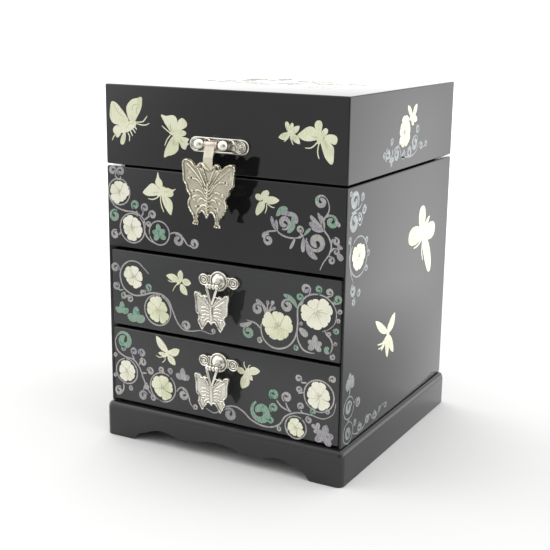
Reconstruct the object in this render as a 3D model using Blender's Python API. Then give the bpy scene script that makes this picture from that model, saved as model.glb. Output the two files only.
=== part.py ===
"""Jewelry armoire: a lacquered box with a hinged mirror lid, a lined top compartment and two drawers.

Frame: metres, +Z up, the front faces -Y, origin on the floor at the centre of the whole object's footprint.
"""

from math import cos, pi, radians, sin

import bmesh
import bpy
from mathutils import Vector

# ---- overall sizes -------------------------------------------------------------------------------
WIDTH = 0.180  # case, side to side
DEPTH = 0.180  # case, front to back
BOARD = 0.008  # case and lid walls
REST_GAP = 0.0003  # between pieces that rest on or are fixed to each other
MITRE_GAP = 0.0003

# ---- plinth --------------------------------------------------------------------------------------
PLINTH_HEIGHT = 0.0245
PLINTH_PROUD = 0.0034  # how far it stands out from the case
PLINTH_ROUND = 0.0050  # height of its rounded top edge
FOOT_LENGTH = 0.0225  # of each bracket foot, along the front
ARCH_CENTRE = 0.0115  # height of the cut-out at its middle
ARCH_DIP = 0.0078  # height of its two low points
ARCH_SHOULDER = 0.0103  # height of its two outer crests
ARCH_RISE = 0.0110  # length of the curve from a foot up into the cut-out

# ---- fronts, from the plinth up ------------------------------------------------------------------
BASE_GAP = 0.0017  # plinth to lower drawer front
DRAWER_FRONT_HEIGHT = 0.0538
DRAWER_GAP = 0.0020  # between the two drawer fronts
TOP_GAP = 0.0025  # upper drawer front to the fixed front above it
UPPER_FRONT_HEIGHT = 0.0546
SEAM = 0.0023  # open joint under the lid, set by the two hinge leaves
LID_HEIGHT = 0.0528
LID_TOP_BOARD = 0.006

# ---- case inside ---------------------------------------------------------------------------------
SHELF = 0.005  # compartment floor, drawer divider and base panel
SHELF_RISE = 0.0036  # top of a shelf above the lower edge of the drawer front before it
NOSE = 0.0008  # blunt front edge left on the mitred side panels
LINER = 0.0020  # lined walls of the compartment and the lid
LINER_FLOOR = 0.0012
LINER_LIP = 0.0040  # how far the lining stands above the case
LINER_GAP = 0.0005  # lining to case, and so to the lid that closes over it
PARTITION = 0.0030
PARTITION_HEIGHT = 0.034
PARTITION_X = -0.012
RING_ROLLS = 3
RING_ROLL_WIDTH = 0.0200
RING_ROLL_HEIGHT = 0.0260
MIRROR = 0.0020
MIRROR_BORDER = 0.008  # lining left showing round the mirror

# ---- drawers -------------------------------------------------------------------------------------
DRAWER_FRONT = 0.0065  # board thickness
DRAWER_RECESS = 0.0005  # drawer front behind the fixed front
DRAWER_FRONT_GAP = 0.0005  # its ends to the side panels
DRAWER_WALL = 0.005
DRAWER_BOTTOM = 0.003
DRAWER_HEADROOM = 0.0078  # how much lower its walls are than its front
DRAWER_SIDE_GAP = 0.0009
DRAWER_BACK_GAP = 0.0040
RUNNING_GAP = 0.0004  # under the drawers
DRAWER_LINER = 0.0012

# ---- hinges --------------------------------------------------------------------------------------
HINGE_LENGTH = 0.026
HINGE_X = 0.052  # from the middle of the case
KNUCKLE_WALL = 0.0012  # round the pin
KNUCKLE_TO_CASE = 0.0004
KNUCKLE_LENGTH = 0.010  # the lid's knuckle, between the case's two
KNUCKLE_GAP = 0.0003
LEAF = 0.0007
LEAF_WIDTH = 0.0060
PIN_RADIUS = 0.0010  # all the pins
PIN_CLEARANCE = 0.00015

# ---- latch, measured from the lid's lower edge and from the front --------------------------------
LATCH_UP = 0.0177
LATCH_LENGTH = 0.044
LATCH_HEIGHT = 0.0098
LATCH_PLATE = 0.0012
LATCH_NAIL_INSET = 0.0058  # from each end of the plate
BALL_X = 0.0084
BALL_RADIUS = 0.0034
POST_RADIUS = 0.0022
HASP_UP = 0.0191  # hasp pivot above the lid's lower edge
HASP_OUT = 0.0100  # hasp pivot in front of the case
BARREL_WALL = 0.0011  # of the strap's rolled top, round the pin
STRAP_WIDTH = 0.0070
STRAP = 0.0012
STRAP_OUT = 0.0034  # back of the strap in front of the pivot
STRAP_LENGTH = 0.036
BUTTERFLY = 0.0036  # thickness of the hasp's butterfly
BUTTERFLY_DROP = 0.0298  # its middle below the pivot
KEEPER_DROP = 0.0290  # keeper stud below the pivot
KEEPER_RADIUS = 0.0015
KEEPER_FLANGE = 0.0040
KEEPER_FLANGE_HEIGHT = 0.0010
KEEPER_SIDE_GAP = 0.00035

# ---- nails under the rosettes --------------------------------------------------------------------
NAIL_RADIUS = 0.0008
NAIL_BORE = 0.0011
NAIL_DEPTH = 0.0045  # into the board
NAIL_CROWN = 0.0014

# ---- drawer pulls, measured from the drawer front ------------------------------------------------
PULL_UP = 0.0154  # middle of the plate above the middle of the drawer front
DOME_RADIUS = 0.0068
DOME_TO_ROSETTE = 0.0004
DOME_HEIGHT = 0.0034
PULL_PLATE = 0.0012
PULL_PLATE_HEIGHT = 0.0064
ROSETTE_RADIUS = 0.0040
EYE_WALL = 0.0014  # round the pin
EYE_WIDTH = 0.0040
PULL_OUT = 0.0094  # pendant pivot in front of the drawer
PULL_PIVOT_DROP = 0.0018  # pivot below the middle of the plate
LOOP_WALL = 0.0012  # round the pin
LOOP_WIDTH = 0.0024
PENDANT = 0.0020  # thickness
PENDANT_OUT = 0.0006  # its back face in front of the pivot
PENDANT_DROP = 0.0165  # its middle below the pivot
ARM = 0.0014  # thickness of the two arms that hold it
ARM_WIDTH = 0.0016

# Right half of each cast butterfly, top middle to bottom middle: (sideways, up) in metres.
HASP_WING = (
    (0.0000, 0.0158), (0.0025, 0.0172), (0.0046, 0.0196), (0.0072, 0.0193), (0.0092, 0.0170),
    (0.0125, 0.0196), (0.0158, 0.0208), (0.0190, 0.0200), (0.0195, 0.0170), (0.0188, 0.0110),
    (0.0184, 0.0070), (0.0162, 0.0040), (0.0156, 0.0010), (0.0136, -0.0025), (0.0148, -0.0055),
    (0.0149, -0.0085), (0.0136, -0.0118), (0.0114, -0.0148), (0.0108, -0.0175), (0.0116, -0.0203),
    (0.0070, -0.0203), (0.0076, -0.0170), (0.0064, -0.0136), (0.0040, -0.0116), (0.0021, -0.0126),
    (0.0000, -0.0160),
)
PENDANT_WING = (
    (0.0000, 0.0052), (0.0018, 0.0078), (0.0052, 0.0112), (0.0078, 0.0104), (0.0098, 0.0120),
    (0.0125, 0.0124), (0.0132, 0.0106), (0.0124, 0.0060), (0.0119, -0.0010), (0.0098, -0.0036),
    (0.0106, -0.0072), (0.0090, -0.0104), (0.0072, -0.0132), (0.0054, -0.0112), (0.0030, -0.0078),
    (0.0016, -0.0074), (0.0000, -0.0092),
)
ROUND_STEPS = 20

# ---- heights and places that follow from the sizes above -----------------------------------------
LOWER_DRAWER_Z = PLINTH_HEIGHT + BASE_GAP
UPPER_DRAWER_Z = LOWER_DRAWER_Z + DRAWER_FRONT_HEIGHT + DRAWER_GAP
FIXED_FRONT_Z = UPPER_DRAWER_Z + DRAWER_FRONT_HEIGHT + TOP_GAP
CASE_TOP = FIXED_FRONT_Z + UPPER_FRONT_HEIGHT
LID_Z = CASE_TOP + SEAM
LID_TOP = LID_Z + LID_HEIGHT
LID_CEILING = LID_TOP - LID_TOP_BOARD - REST_GAP
CASE_BOTTOM = PLINTH_HEIGHT + REST_GAP
COMPARTMENT_Z = FIXED_FRONT_Z + SHELF
INNER_X = WIDTH / 2 - BOARD
DRAWER_WALL_HEIGHT = DRAWER_FRONT_HEIGHT - DRAWER_HEADROOM
KNUCKLE_RADIUS = PIN_RADIUS + KNUCKLE_WALL
HINGE_OUT = KNUCKLE_RADIUS + KNUCKLE_TO_CASE  # hinge axis behind the case
BARREL_RADIUS = PIN_RADIUS + BARREL_WALL
BARREL_LENGTH = (BALL_X - BALL_RADIUS - REST_GAP) * 2
EYE_RADIUS = PIN_RADIUS + EYE_WALL
LOOP_RADIUS = PIN_RADIUS + LOOP_WALL
LATCH_NAIL_X = LATCH_LENGTH / 2 - LATCH_NAIL_INSET
ROSETTE_X = DOME_RADIUS + DOME_TO_ROSETTE + ROSETTE_RADIUS

STRAP_FRONT = HASP_OUT + STRAP_OUT + STRAP
BUTTERFLY_BACK = STRAP_FRONT + REST_GAP
REACH_FRONT = BUTTERFLY_BACK + BUTTERFLY
REACH_BACK = max(HINGE_OUT + KNUCKLE_RADIUS, PLINTH_PROUD)
MIDDLE_Y = (REACH_FRONT - REACH_BACK) / 2  # middle of the case
FRONT_Y = MIDDLE_Y - DEPTH / 2
BACK_Y = MIDDLE_Y + DEPTH / 2
INNER_FRONT_Y = FRONT_Y + BOARD
INNER_BACK_Y = BACK_Y - BOARD
HINGE_Z = CASE_TOP + SEAM / 2
HASP_Z = LID_Z + HASP_UP


def finish(name, colour, roughness, metallic=0.0):
    material = bpy.data.materials.new(name)
    material.use_nodes = True
    shader = material.node_tree.nodes["Principled BSDF"]
    shader.inputs["Base Color"].default_value = (*colour, 1.0)
    shader.inputs["Roughness"].default_value = roughness
    shader.inputs["Metallic"].default_value = metallic
    return material


# ---- placing and shaping -------------------------------------------------------------------------


def place(obj, at, parent=None):
    """Puts an object at a world position, under a parent whose own axes are the world's."""
    obj.parent = parent
    obj.location = Vector(at)
    while parent:
        obj.location -= parent.location
        parent = parent.parent
    return obj


def add(name, bm, material=None, parent=None, at=(0, 0, 0)):
    bmesh.ops.recalc_face_normals(bm, faces=bm.faces)
    mesh = bpy.data.meshes.new(name)
    bm.to_mesh(mesh)
    bm.free()
    obj = bpy.data.objects.new(name, mesh)
    bpy.context.scene.collection.objects.link(obj)
    if material:
        mesh.materials.append(material)
    return place(obj, at, parent)


def pivot(name, at, parent=None):
    empty = bpy.data.objects.new(name, None)
    bpy.context.scene.collection.objects.link(empty)
    return place(empty, at, parent)


def smooth(obj):
    obj.data.shade_smooth()
    obj.data.set_sharp_from_angle(angle=radians(40))
    return obj


def boolean(obj, bm, operation, at=(0, 0, 0)):
    """Joins or cuts a shape given in the world, kept as a hidden tool."""
    tool = add(f"{obj.name}_tool_{len(obj.modifiers)}", bm, at=at)
    tool.hide_render = True
    tool.display_type = "WIRE"
    modifier = obj.modifiers.new(tool.name, "BOOLEAN")
    modifier.operation = operation
    modifier.object = tool
    modifier.solver = "EXACT"


def block(name, low, high, material, parent=None):
    """A board given by its lowest and highest corners, with its origin at its middle."""
    low, high = Vector(low), Vector(high)
    bm = bmesh.new()
    bmesh.ops.create_cube(bm, size=1.0)
    bmesh.ops.scale(bm, vec=high - low, verts=bm.verts)
    return add(name, bm, material, parent, (low + high) / 2)


def prism(outline, along, start, end):
    """A shape drawn in the other two axes, in X, Y, Z order, and swept along one axis."""
    bm = bmesh.new()

    def point(a, b, c):
        return {"X": (c, a, b), "Y": (a, c, b), "Z": (a, b, c)}[along]

    near = [bm.verts.new(point(a, b, start)) for a, b in outline]
    far = [bm.verts.new(point(a, b, end)) for a, b in outline]
    bm.faces.new(near)
    bm.faces.new(far)
    for i in range(len(near)):
        j = (i + 1) % len(near)
        bm.faces.new((near[i], near[j], far[j], far[i]))
    return bm


def circle(radius, middle=(0, 0), start=0.0, turn=360.0, steps=ROUND_STEPS):
    """Points round a circle, or along an arc of it, both ends of the arc included."""
    count = steps if turn == 360 else steps + 1
    return [
        (middle[0] + radius * cos(radians(start + turn * i / steps)),
         middle[1] + radius * sin(radians(start + turn * i / steps)))
        for i in range(count)
    ]


def turned(profile, axis="Y", steps=ROUND_STEPS):
    """A turned solid from (along, radius) points, whose first and last radius is 0."""
    bm = bmesh.new()

    def point(along, a, b):
        return {"X": (along, a, b), "Y": (a, along, b), "Z": (a, b, along)}[axis]

    rings = []
    for along, radius in profile:
        spots = circle(radius, steps=steps) if radius else [(0, 0)]
        rings.append([bm.verts.new(point(along, a, b)) for a, b in spots])
    for first, second in zip(rings, rings[1:]):
        for i in range(steps):
            j = (i + 1) % steps
            corners = (first[i % len(first)], first[j % len(first)])
            corners += (second[j % len(second)], second[i % len(second)])
            bm.faces.new(list(dict.fromkeys(corners)))
    return bm


def rod(radius, low, high, axis="X"):
    return turned([(low, 0), (low, radius), (high, radius), (high, 0)], axis)


def tray(name, low, high, wall, floor, material, parent=None, upside_down=False):
    """An open box with thin walls; upside down, its floor is at the top."""
    low, high = Vector(low), Vector(high)
    bm = bmesh.new()
    rows = []
    rim, inside, outside = high.z, low.z + floor, low.z
    if upside_down:
        rim, inside, outside = low.z, high.z - floor, high.z
    for inset, z in ((0, outside), (0, rim), (wall, rim), (wall, inside)):
        x0, x1, y0, y1 = low.x + inset, high.x - inset, low.y + inset, high.y - inset
        rows.append([bm.verts.new((x, y, z)) for x, y in ((x0, y0), (x1, y0), (x1, y1), (x0, y1))])
    bm.faces.new(rows[0])
    bm.faces.new(rows[-1])
    for first, second in zip(rows, rows[1:]):
        for i in range(4):
            j = (i + 1) % 4
            bm.faces.new((first[i], first[j], second[j], second[i]))
    return add(name, bm, material, parent)


def rail(name, side, profile, material, parent=None):
    """One board of a mitred frame round the case, from its (outwards, up) section."""
    along_x = side in ("front", "back")
    sign = -1 if side in ("front", "left") else 1
    half_run = (WIDTH if along_x else DEPTH) / 2 - MITRE_GAP
    half_across = (DEPTH if along_x else WIDTH) / 2
    bm = bmesh.new()
    ends = []
    for end in (-1, 1):
        row = []
        for out, up in profile:
            run, across = end * (half_run + out), sign * (half_across + out)
            x, y = (run, across) if along_x else (across, run)
            row.append(bm.verts.new((x, MIDDLE_Y + y, up)))
        bm.faces.new(row)
        ends.append(row)
    for i in range(len(profile)):
        j = (i + 1) % len(profile)
        bm.faces.new((ends[0][i], ends[0][j], ends[1][j], ends[1][i]))
    return add(name, bm, material, parent)


def front_board(name, recess, thickness, gap, low_z, high_z, material, parent=None):
    """A front whose ends are bevelled to fit between the mitred side panels."""
    near = WIDTH / 2 - NOSE - recess - gap
    far = near - thickness
    y0 = FRONT_Y + recess
    outline = [(-near, y0), (near, y0), (far, y0 + thickness), (-far, y0 + thickness)]
    return add(name, prism(outline, "Z", low_z, high_z), material, parent)


def stadium(length, height):
    half = length / 2 - height / 2
    right = circle(height / 2, (half, 0), -90, 180, ROUND_STEPS // 2)
    left = circle(height / 2, (-half, 0), 90, 180, ROUND_STEPS // 2)
    return right + left


def both_wings(wing, up=0.0):
    """The whole butterfly outline from its right half, raised to its place."""
    whole = list(wing) + [(-side, rise) for side, rise in reversed(wing[1:-1])]
    return [(side, rise + up) for side, rise in whole]


def rosette_nail(name, x, plate_front, plate, z, material, parent):
    """A domed rosette on a nail through a plate and into the board behind it."""
    shank_end = plate + REST_GAP + NAIL_DEPTH
    profile = [(-NAIL_CROWN, 0), (-NAIL_CROWN, ROSETTE_RADIUS * 0.45), (-NAIL_CROWN * 0.6, ROSETTE_RADIUS * 0.85)]
    profile += [(0, ROSETTE_RADIUS), (0, NAIL_RADIUS), (shank_end, NAIL_RADIUS), (shank_end, 0)]
    head_back = plate_front - REST_GAP
    return smooth(add(name, turned(profile), material, parent, (x, head_back, z)))


def bore(obj, radius, start, end, at, axis="Y"):
    boolean(obj, rod(radius, start, end, axis), "DIFFERENCE", at)


# ---- case ----------------------------------------------------------------------------------------


def plinth_section():
    steps = 5
    arc = [
        (PLINTH_PROUD * cos(pi / 2 * i / steps), PLINTH_HEIGHT - PLINTH_ROUND * (1 - sin(pi / 2 * i / steps)))
        for i in range(steps + 1)
    ]
    return [(PLINTH_PROUD, 0.0), *arc, (-BOARD, PLINTH_HEIGHT), (-BOARD, 0.0)]


def arch_outline():
    """(x, z) outline of the shaped cut-out under the front board."""
    foot = WIDTH / 2 + PLINTH_PROUD - FOOT_LENGTH
    shoulder = foot - ARCH_RISE * 2
    marks = [(0, ARCH_CENTRE), (shoulder / 2, ARCH_DIP), (shoulder, ARCH_SHOULDER)]
    marks += [(foot - ARCH_RISE, ARCH_DIP), (foot, 0.0)]
    right = [marks[0]]
    steps = 4
    for (x0, z0), (x1, z1) in zip(marks, marks[1:]):
        for i in range(1, steps + 1):
            t = i / steps
            right.append((x0 + (x1 - x0) * t, z0 + (z1 - z0) * (1 - cos(pi * t)) / 2))
    below = -0.002
    return [(-foot, below)] + [(-x, z) for x, z in reversed(right[1:])] + right + [(foot, below)]


def make_plinth(lacquer):
    for side in ("front", "back", "left", "right"):
        rail(f"plinth_{side}", side, plinth_section(), lacquer)
    past = PLINTH_PROUD + 0.001
    arch = prism(arch_outline(), "Y", FRONT_Y - past, INNER_FRONT_Y + past)
    boolean(bpy.data.objects["plinth_front"], arch, "DIFFERENCE")


def make_carcass(lacquer):
    for name, side in (("side_left", -1), ("side_right", 1)):
        outline = [
            (side * WIDTH / 2, FRONT_Y), (side * (WIDTH / 2 - NOSE), FRONT_Y),
            (side * INNER_X, INNER_FRONT_Y - NOSE), (side * INNER_X, BACK_Y), (side * WIDTH / 2, BACK_Y),
        ]
        add(name, prism(outline, "Z", CASE_BOTTOM, CASE_TOP), lacquer)
    reach = INNER_X - REST_GAP
    block("case_back", (-reach, INNER_BACK_Y, CASE_BOTTOM), (reach, BACK_Y, CASE_TOP), lacquer)
    front = front_board("upper_front", 0, BOARD - NOSE, MITRE_GAP, FIXED_FRONT_Z, CASE_TOP, lacquer)
    bore(front, KEEPER_RADIUS + REST_GAP, -0.001, NAIL_DEPTH, (0, FRONT_Y, HASP_Z - KEEPER_DROP))
    shelves = {
        "base_panel": LOWER_DRAWER_Z + SHELF_RISE,
        "drawer_divider": UPPER_DRAWER_Z + SHELF_RISE,
        "compartment_floor": COMPARTMENT_Z,
    }
    for name, top in shelves.items():
        low = (-reach, INNER_FRONT_Y, max(top - SHELF, CASE_BOTTOM))
        block(name, low, (reach, INNER_BACK_Y - REST_GAP, top), lacquer)


def make_compartment(velvet):
    """The lined tray in the top of the case, its partitions and its ring rolls."""
    outer = INNER_X - LINER_GAP
    low = (-outer, INNER_FRONT_Y + LINER_GAP, COMPARTMENT_Z + REST_GAP)
    high = (outer, INNER_BACK_Y - LINER_GAP, CASE_TOP + LINER_LIP)
    tray("compartment_liner", low, high, LINER, LINER_FLOOR, velvet)
    floor_z = low[2] + LINER_FLOOR + REST_GAP
    left, right = -outer + LINER + REST_GAP, outer - LINER - REST_GAP
    front, back = low[1] + LINER + REST_GAP, high[1] - LINER - REST_GAP
    partition_right = PARTITION_X + PARTITION / 2
    top = floor_z + PARTITION_HEIGHT
    partition_low = (PARTITION_X - PARTITION / 2, front, floor_z)
    block("partition_long", partition_low, (partition_right, back, top), velvet)
    cell_left = partition_right + REST_GAP
    cross_y = front + RING_ROLLS * (RING_ROLL_WIDTH + REST_GAP)
    block("partition_cross", (cell_left, cross_y, floor_z), (right, cross_y + PARTITION, top), velvet)
    radius = RING_ROLL_WIDTH / 2
    for i in range(RING_ROLLS):
        middle = front + i * (RING_ROLL_WIDTH + REST_GAP) + radius
        crown = circle(radius, (middle, floor_z + RING_ROLL_HEIGHT - radius), 0, 180, 10)
        outline = crown + [(middle - radius, floor_z), (middle + radius, floor_z)]
        smooth(add(f"ring_roll_{i + 1}", prism(outline, "X", cell_left, right), velvet))


def leaf_outline(knuckles):
    """(x, y) plan of a hinge leaf, with a tab out to the axis at each of its knuckles."""
    half = HINGE_LENGTH / 2
    outline = [(-half, BACK_Y - LEAF_WIDTH), (half, BACK_Y - LEAF_WIDTH), (half, BACK_Y)]
    for x0, x1 in reversed(knuckles):
        outline += [(x1, BACK_Y), (x1, BACK_Y + HINGE_OUT), (x0, BACK_Y + HINGE_OUT), (x0, BACK_Y)]
    outline.append((-half, BACK_Y))
    return list(dict.fromkeys(outline))


def make_hinges(nickel, lid):
    half, inner = HINGE_LENGTH / 2, KNUCKLE_LENGTH / 2
    outer_knuckles = [(-half, -inner - KNUCKLE_GAP), (inner + KNUCKLE_GAP, half)]
    lower_z = CASE_TOP + REST_GAP / 2
    upper_z = LID_Z - REST_GAP / 2 - LEAF
    for side, word in ((-1, "left"), (1, "right")):
        x = side * HINGE_X
        leaves = (
            ("case", outer_knuckles, lower_z, None),
            ("lid", [(-inner, inner)], upper_z, lid),
        )
        for owner, knuckles, z, parent in leaves:
            leaf = add(f"hinge_{word}_{owner}_leaf", prism(leaf_outline(knuckles), "Z", z, z + LEAF), nickel)
            place(leaf, (x, 0, 0), parent)
            axis_at = (x, BACK_Y + HINGE_OUT, HINGE_Z)
            for x0, x1 in knuckles:
                boolean(leaf, rod(KNUCKLE_RADIUS, x0, x1), "UNION", axis_at)
            bore(leaf, PIN_RADIUS + PIN_CLEARANCE, -half - 0.001, half + 0.001, axis_at, "X")
        smooth(add(f"hinge_{word}_pin", rod(PIN_RADIUS, -half, half), nickel, None, axis_at))


def make_keeper(nickel):
    """The stud on the fixed front that the forked hasp strap drops over."""
    tip = BUTTERFLY_BACK - REST_GAP * 2 - REST_GAP
    profile = [(-tip, 0), (-tip, KEEPER_RADIUS * 0.7), (-tip + 0.0005, KEEPER_RADIUS)]
    profile += [(-KEEPER_FLANGE_HEIGHT, radius) for radius in (KEEPER_RADIUS, KEEPER_FLANGE)]
    profile.append((0, KEEPER_FLANGE))
    profile += [(0, KEEPER_RADIUS), (NAIL_DEPTH - REST_GAP, KEEPER_RADIUS), (NAIL_DEPTH - REST_GAP, 0)]
    at = (0, FRONT_Y - REST_GAP, HASP_Z - KEEPER_DROP)
    smooth(add("latch_keeper", turned(profile), nickel, None, at))


# ---- lid -----------------------------------------------------------------------------------------


def make_lid(finishes, lid):
    lacquer, velvet = finishes["lacquer"], finishes["velvet"]
    half_x, half_y = WIDTH / 2, DEPTH / 2
    top_low = (-half_x, MIDDLE_Y - half_y, LID_TOP - LID_TOP_BOARD)
    block("lid_top", top_low, (half_x, MIDDLE_Y + half_y, LID_TOP), lacquer, lid)
    section = [(0, LID_Z), (0, LID_CEILING), (-BOARD, LID_CEILING), (-BOARD, LID_Z)]
    for side in ("front", "back", "left", "right"):
        rail(f"lid_{side}", side, section, lacquer, lid)
    for x in (-LATCH_NAIL_X, LATCH_NAIL_X):
        nail_at = (x, FRONT_Y, LID_Z + LATCH_UP)
        bore(bpy.data.objects["lid_front"], NAIL_BORE, -0.001, NAIL_DEPTH + REST_GAP, nail_at)
    outer = INNER_X - LINER_GAP
    low = Vector((-outer, INNER_FRONT_Y + LINER_GAP, CASE_TOP + LINER_LIP + REST_GAP))
    high = Vector((outer, INNER_BACK_Y - LINER_GAP, LID_CEILING - REST_GAP))
    tray("lid_liner", low, high, LINER, LINER_FLOOR, velvet, lid, upside_down=True)
    border = LINER + MIRROR_BORDER
    glass_top = high.z - LINER_FLOOR - REST_GAP
    glass_low = (low.x + border, low.y + border, glass_top - MIRROR)
    block("lid_mirror", glass_low, (high.x - border, high.y - border, glass_top), finishes["mirror"], lid)


def make_latch(nickel, lid):
    """The plate nailed to the lid, with the two ball ears and the pin that carry the hasp."""
    z = LID_Z + LATCH_UP
    back = FRONT_Y - REST_GAP
    front = back - LATCH_PLATE
    outline = [(x, z + up) for x, up in stadium(LATCH_LENGTH, LATCH_HEIGHT)]
    plate = add("latch_plate", prism(outline, "Y", front, back), nickel, lid)
    neck = BALL_RADIUS * cos(radians(40))
    ball = []
    for i in range(8):
        angle = radians(180 * i / 9)
        if BALL_RADIUS * -cos(angle) < neck:
            ball.append((-BALL_RADIUS * cos(angle), BALL_RADIUS * sin(angle)))
    ball += [(neck, POST_RADIUS), (HASP_OUT - LATCH_PLATE / 2, POST_RADIUS), (HASP_OUT - LATCH_PLATE / 2, 0)]
    for x in (-BALL_X, BALL_X):
        boolean(plate, turned(ball), "UNION", (x, FRONT_Y - HASP_OUT, HASP_Z))
    pin_end = BALL_X + BALL_RADIUS * 0.7
    at = (0, FRONT_Y - HASP_OUT, HASP_Z)
    bore(plate, PIN_RADIUS + PIN_CLEARANCE, -pin_end - BALL_RADIUS, pin_end + BALL_RADIUS, at, "X")
    for x, word in ((-LATCH_NAIL_X, "left"), (LATCH_NAIL_X, "right")):
        bore(plate, NAIL_BORE, front - 0.001, back + 0.001, (x, 0, z))
        rosette_nail(f"latch_nail_{word}", x, front, LATCH_PLATE, z, nickel, lid)
    smooth(plate)
    smooth(add("latch_pin", rod(PIN_RADIUS, -pin_end, pin_end), nickel, lid, at))


def make_hasp(finishes, hasp):
    """The rolled and forked strap that hangs from the latch pin, and the butterfly fixed to its front."""
    at = Vector((0, FRONT_Y - HASP_OUT, HASP_Z))
    back, front = -STRAP_OUT, -STRAP_OUT - STRAP
    bend = -BARREL_RADIUS - 0.0055
    section = [
        (-0.9 * BARREL_RADIUS, -0.4 * BARREL_RADIUS), (front, bend + 0.0003), (front, -STRAP_LENGTH),
        (back, -STRAP_LENGTH), (back, bend), (-0.2 * BARREL_RADIUS, -0.8 * BARREL_RADIUS),
    ]
    strap = add("hasp_strap", prism(section, "X", -STRAP_WIDTH / 2, STRAP_WIDTH / 2), finishes["nickel"])
    place(strap, at, hasp)
    boolean(strap, rod(BARREL_RADIUS, -BARREL_LENGTH / 2, BARREL_LENGTH / 2), "UNION", at)
    bore(strap, PIN_RADIUS + PIN_CLEARANCE, -BARREL_LENGTH, BARREL_LENGTH, at, "X")
    slot = KEEPER_RADIUS + KEEPER_SIDE_GAP
    slot_top = at.z - KEEPER_DROP + slot * 2
    slot_low = at.z - STRAP_LENGTH - 0.001
    outline = [(-slot, slot_low), (slot, slot_low), (slot, slot_top), (-slot, slot_top)]
    boolean(strap, prism(outline, "Y", at.y - STRAP_FRONT, at.y), "DIFFERENCE")
    smooth(strap)
    outline = both_wings(HASP_WING, at.z - BUTTERFLY_DROP)
    front_y = FRONT_Y - REACH_FRONT
    add("hasp_butterfly", prism(outline, "Y", front_y, front_y + BUTTERFLY), finishes["nickel"], hasp)


# ---- drawers -------------------------------------------------------------------------------------


def make_drawer(number, front_z, finishes):
    name = f"drawer_{number}"
    lacquer = finishes["lacquer"]
    slide = pivot(f"{name}_slide", (0, FRONT_Y, front_z))
    high_z = front_z + DRAWER_FRONT_HEIGHT
    board = (DRAWER_RECESS, DRAWER_FRONT, DRAWER_FRONT_GAP, front_z, high_z)
    front = front_board(f"{name}_front", *board, lacquer, slide)
    plate_z = (front_z + high_z) / 2 + PULL_UP
    face_y = FRONT_Y + DRAWER_RECESS
    for x in (-ROSETTE_X, ROSETTE_X):
        bore(front, NAIL_BORE, -0.001, NAIL_DEPTH + REST_GAP, (x, face_y, plate_z))

    outer = INNER_X - DRAWER_SIDE_GAP
    inner = outer - DRAWER_WALL
    front_y = face_y + DRAWER_FRONT + REST_GAP
    back_y = INNER_BACK_Y - DRAWER_BACK_GAP
    floor_z = front_z + SHELF_RISE + RUNNING_GAP
    top_z = floor_z + DRAWER_WALL_HEIGHT
    for side, word in ((-1, "left"), (1, "right")):
        x0, x1 = sorted((side * inner, side * outer))
        block(f"{name}_side_{word}", (x0, front_y, floor_z), (x1, back_y, top_z), lacquer, slide)
    reach = inner - REST_GAP
    block(f"{name}_back", (-reach, back_y - DRAWER_WALL, floor_z), (reach, back_y, top_z), lacquer, slide)
    bottom_back = back_y - DRAWER_WALL - REST_GAP
    bottom_top = floor_z + DRAWER_BOTTOM
    block(f"{name}_bottom", (-reach, front_y, floor_z), (reach, bottom_back, bottom_top), lacquer, slide)
    low, high = (-reach, front_y, bottom_top + REST_GAP), (reach, bottom_back, top_z)
    tray(f"{name}_liner", low, high, DRAWER_LINER, DRAWER_LINER, finishes["velvet"], slide)
    make_pull(number, face_y, plate_z, finishes["nickel"], slide)


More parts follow.
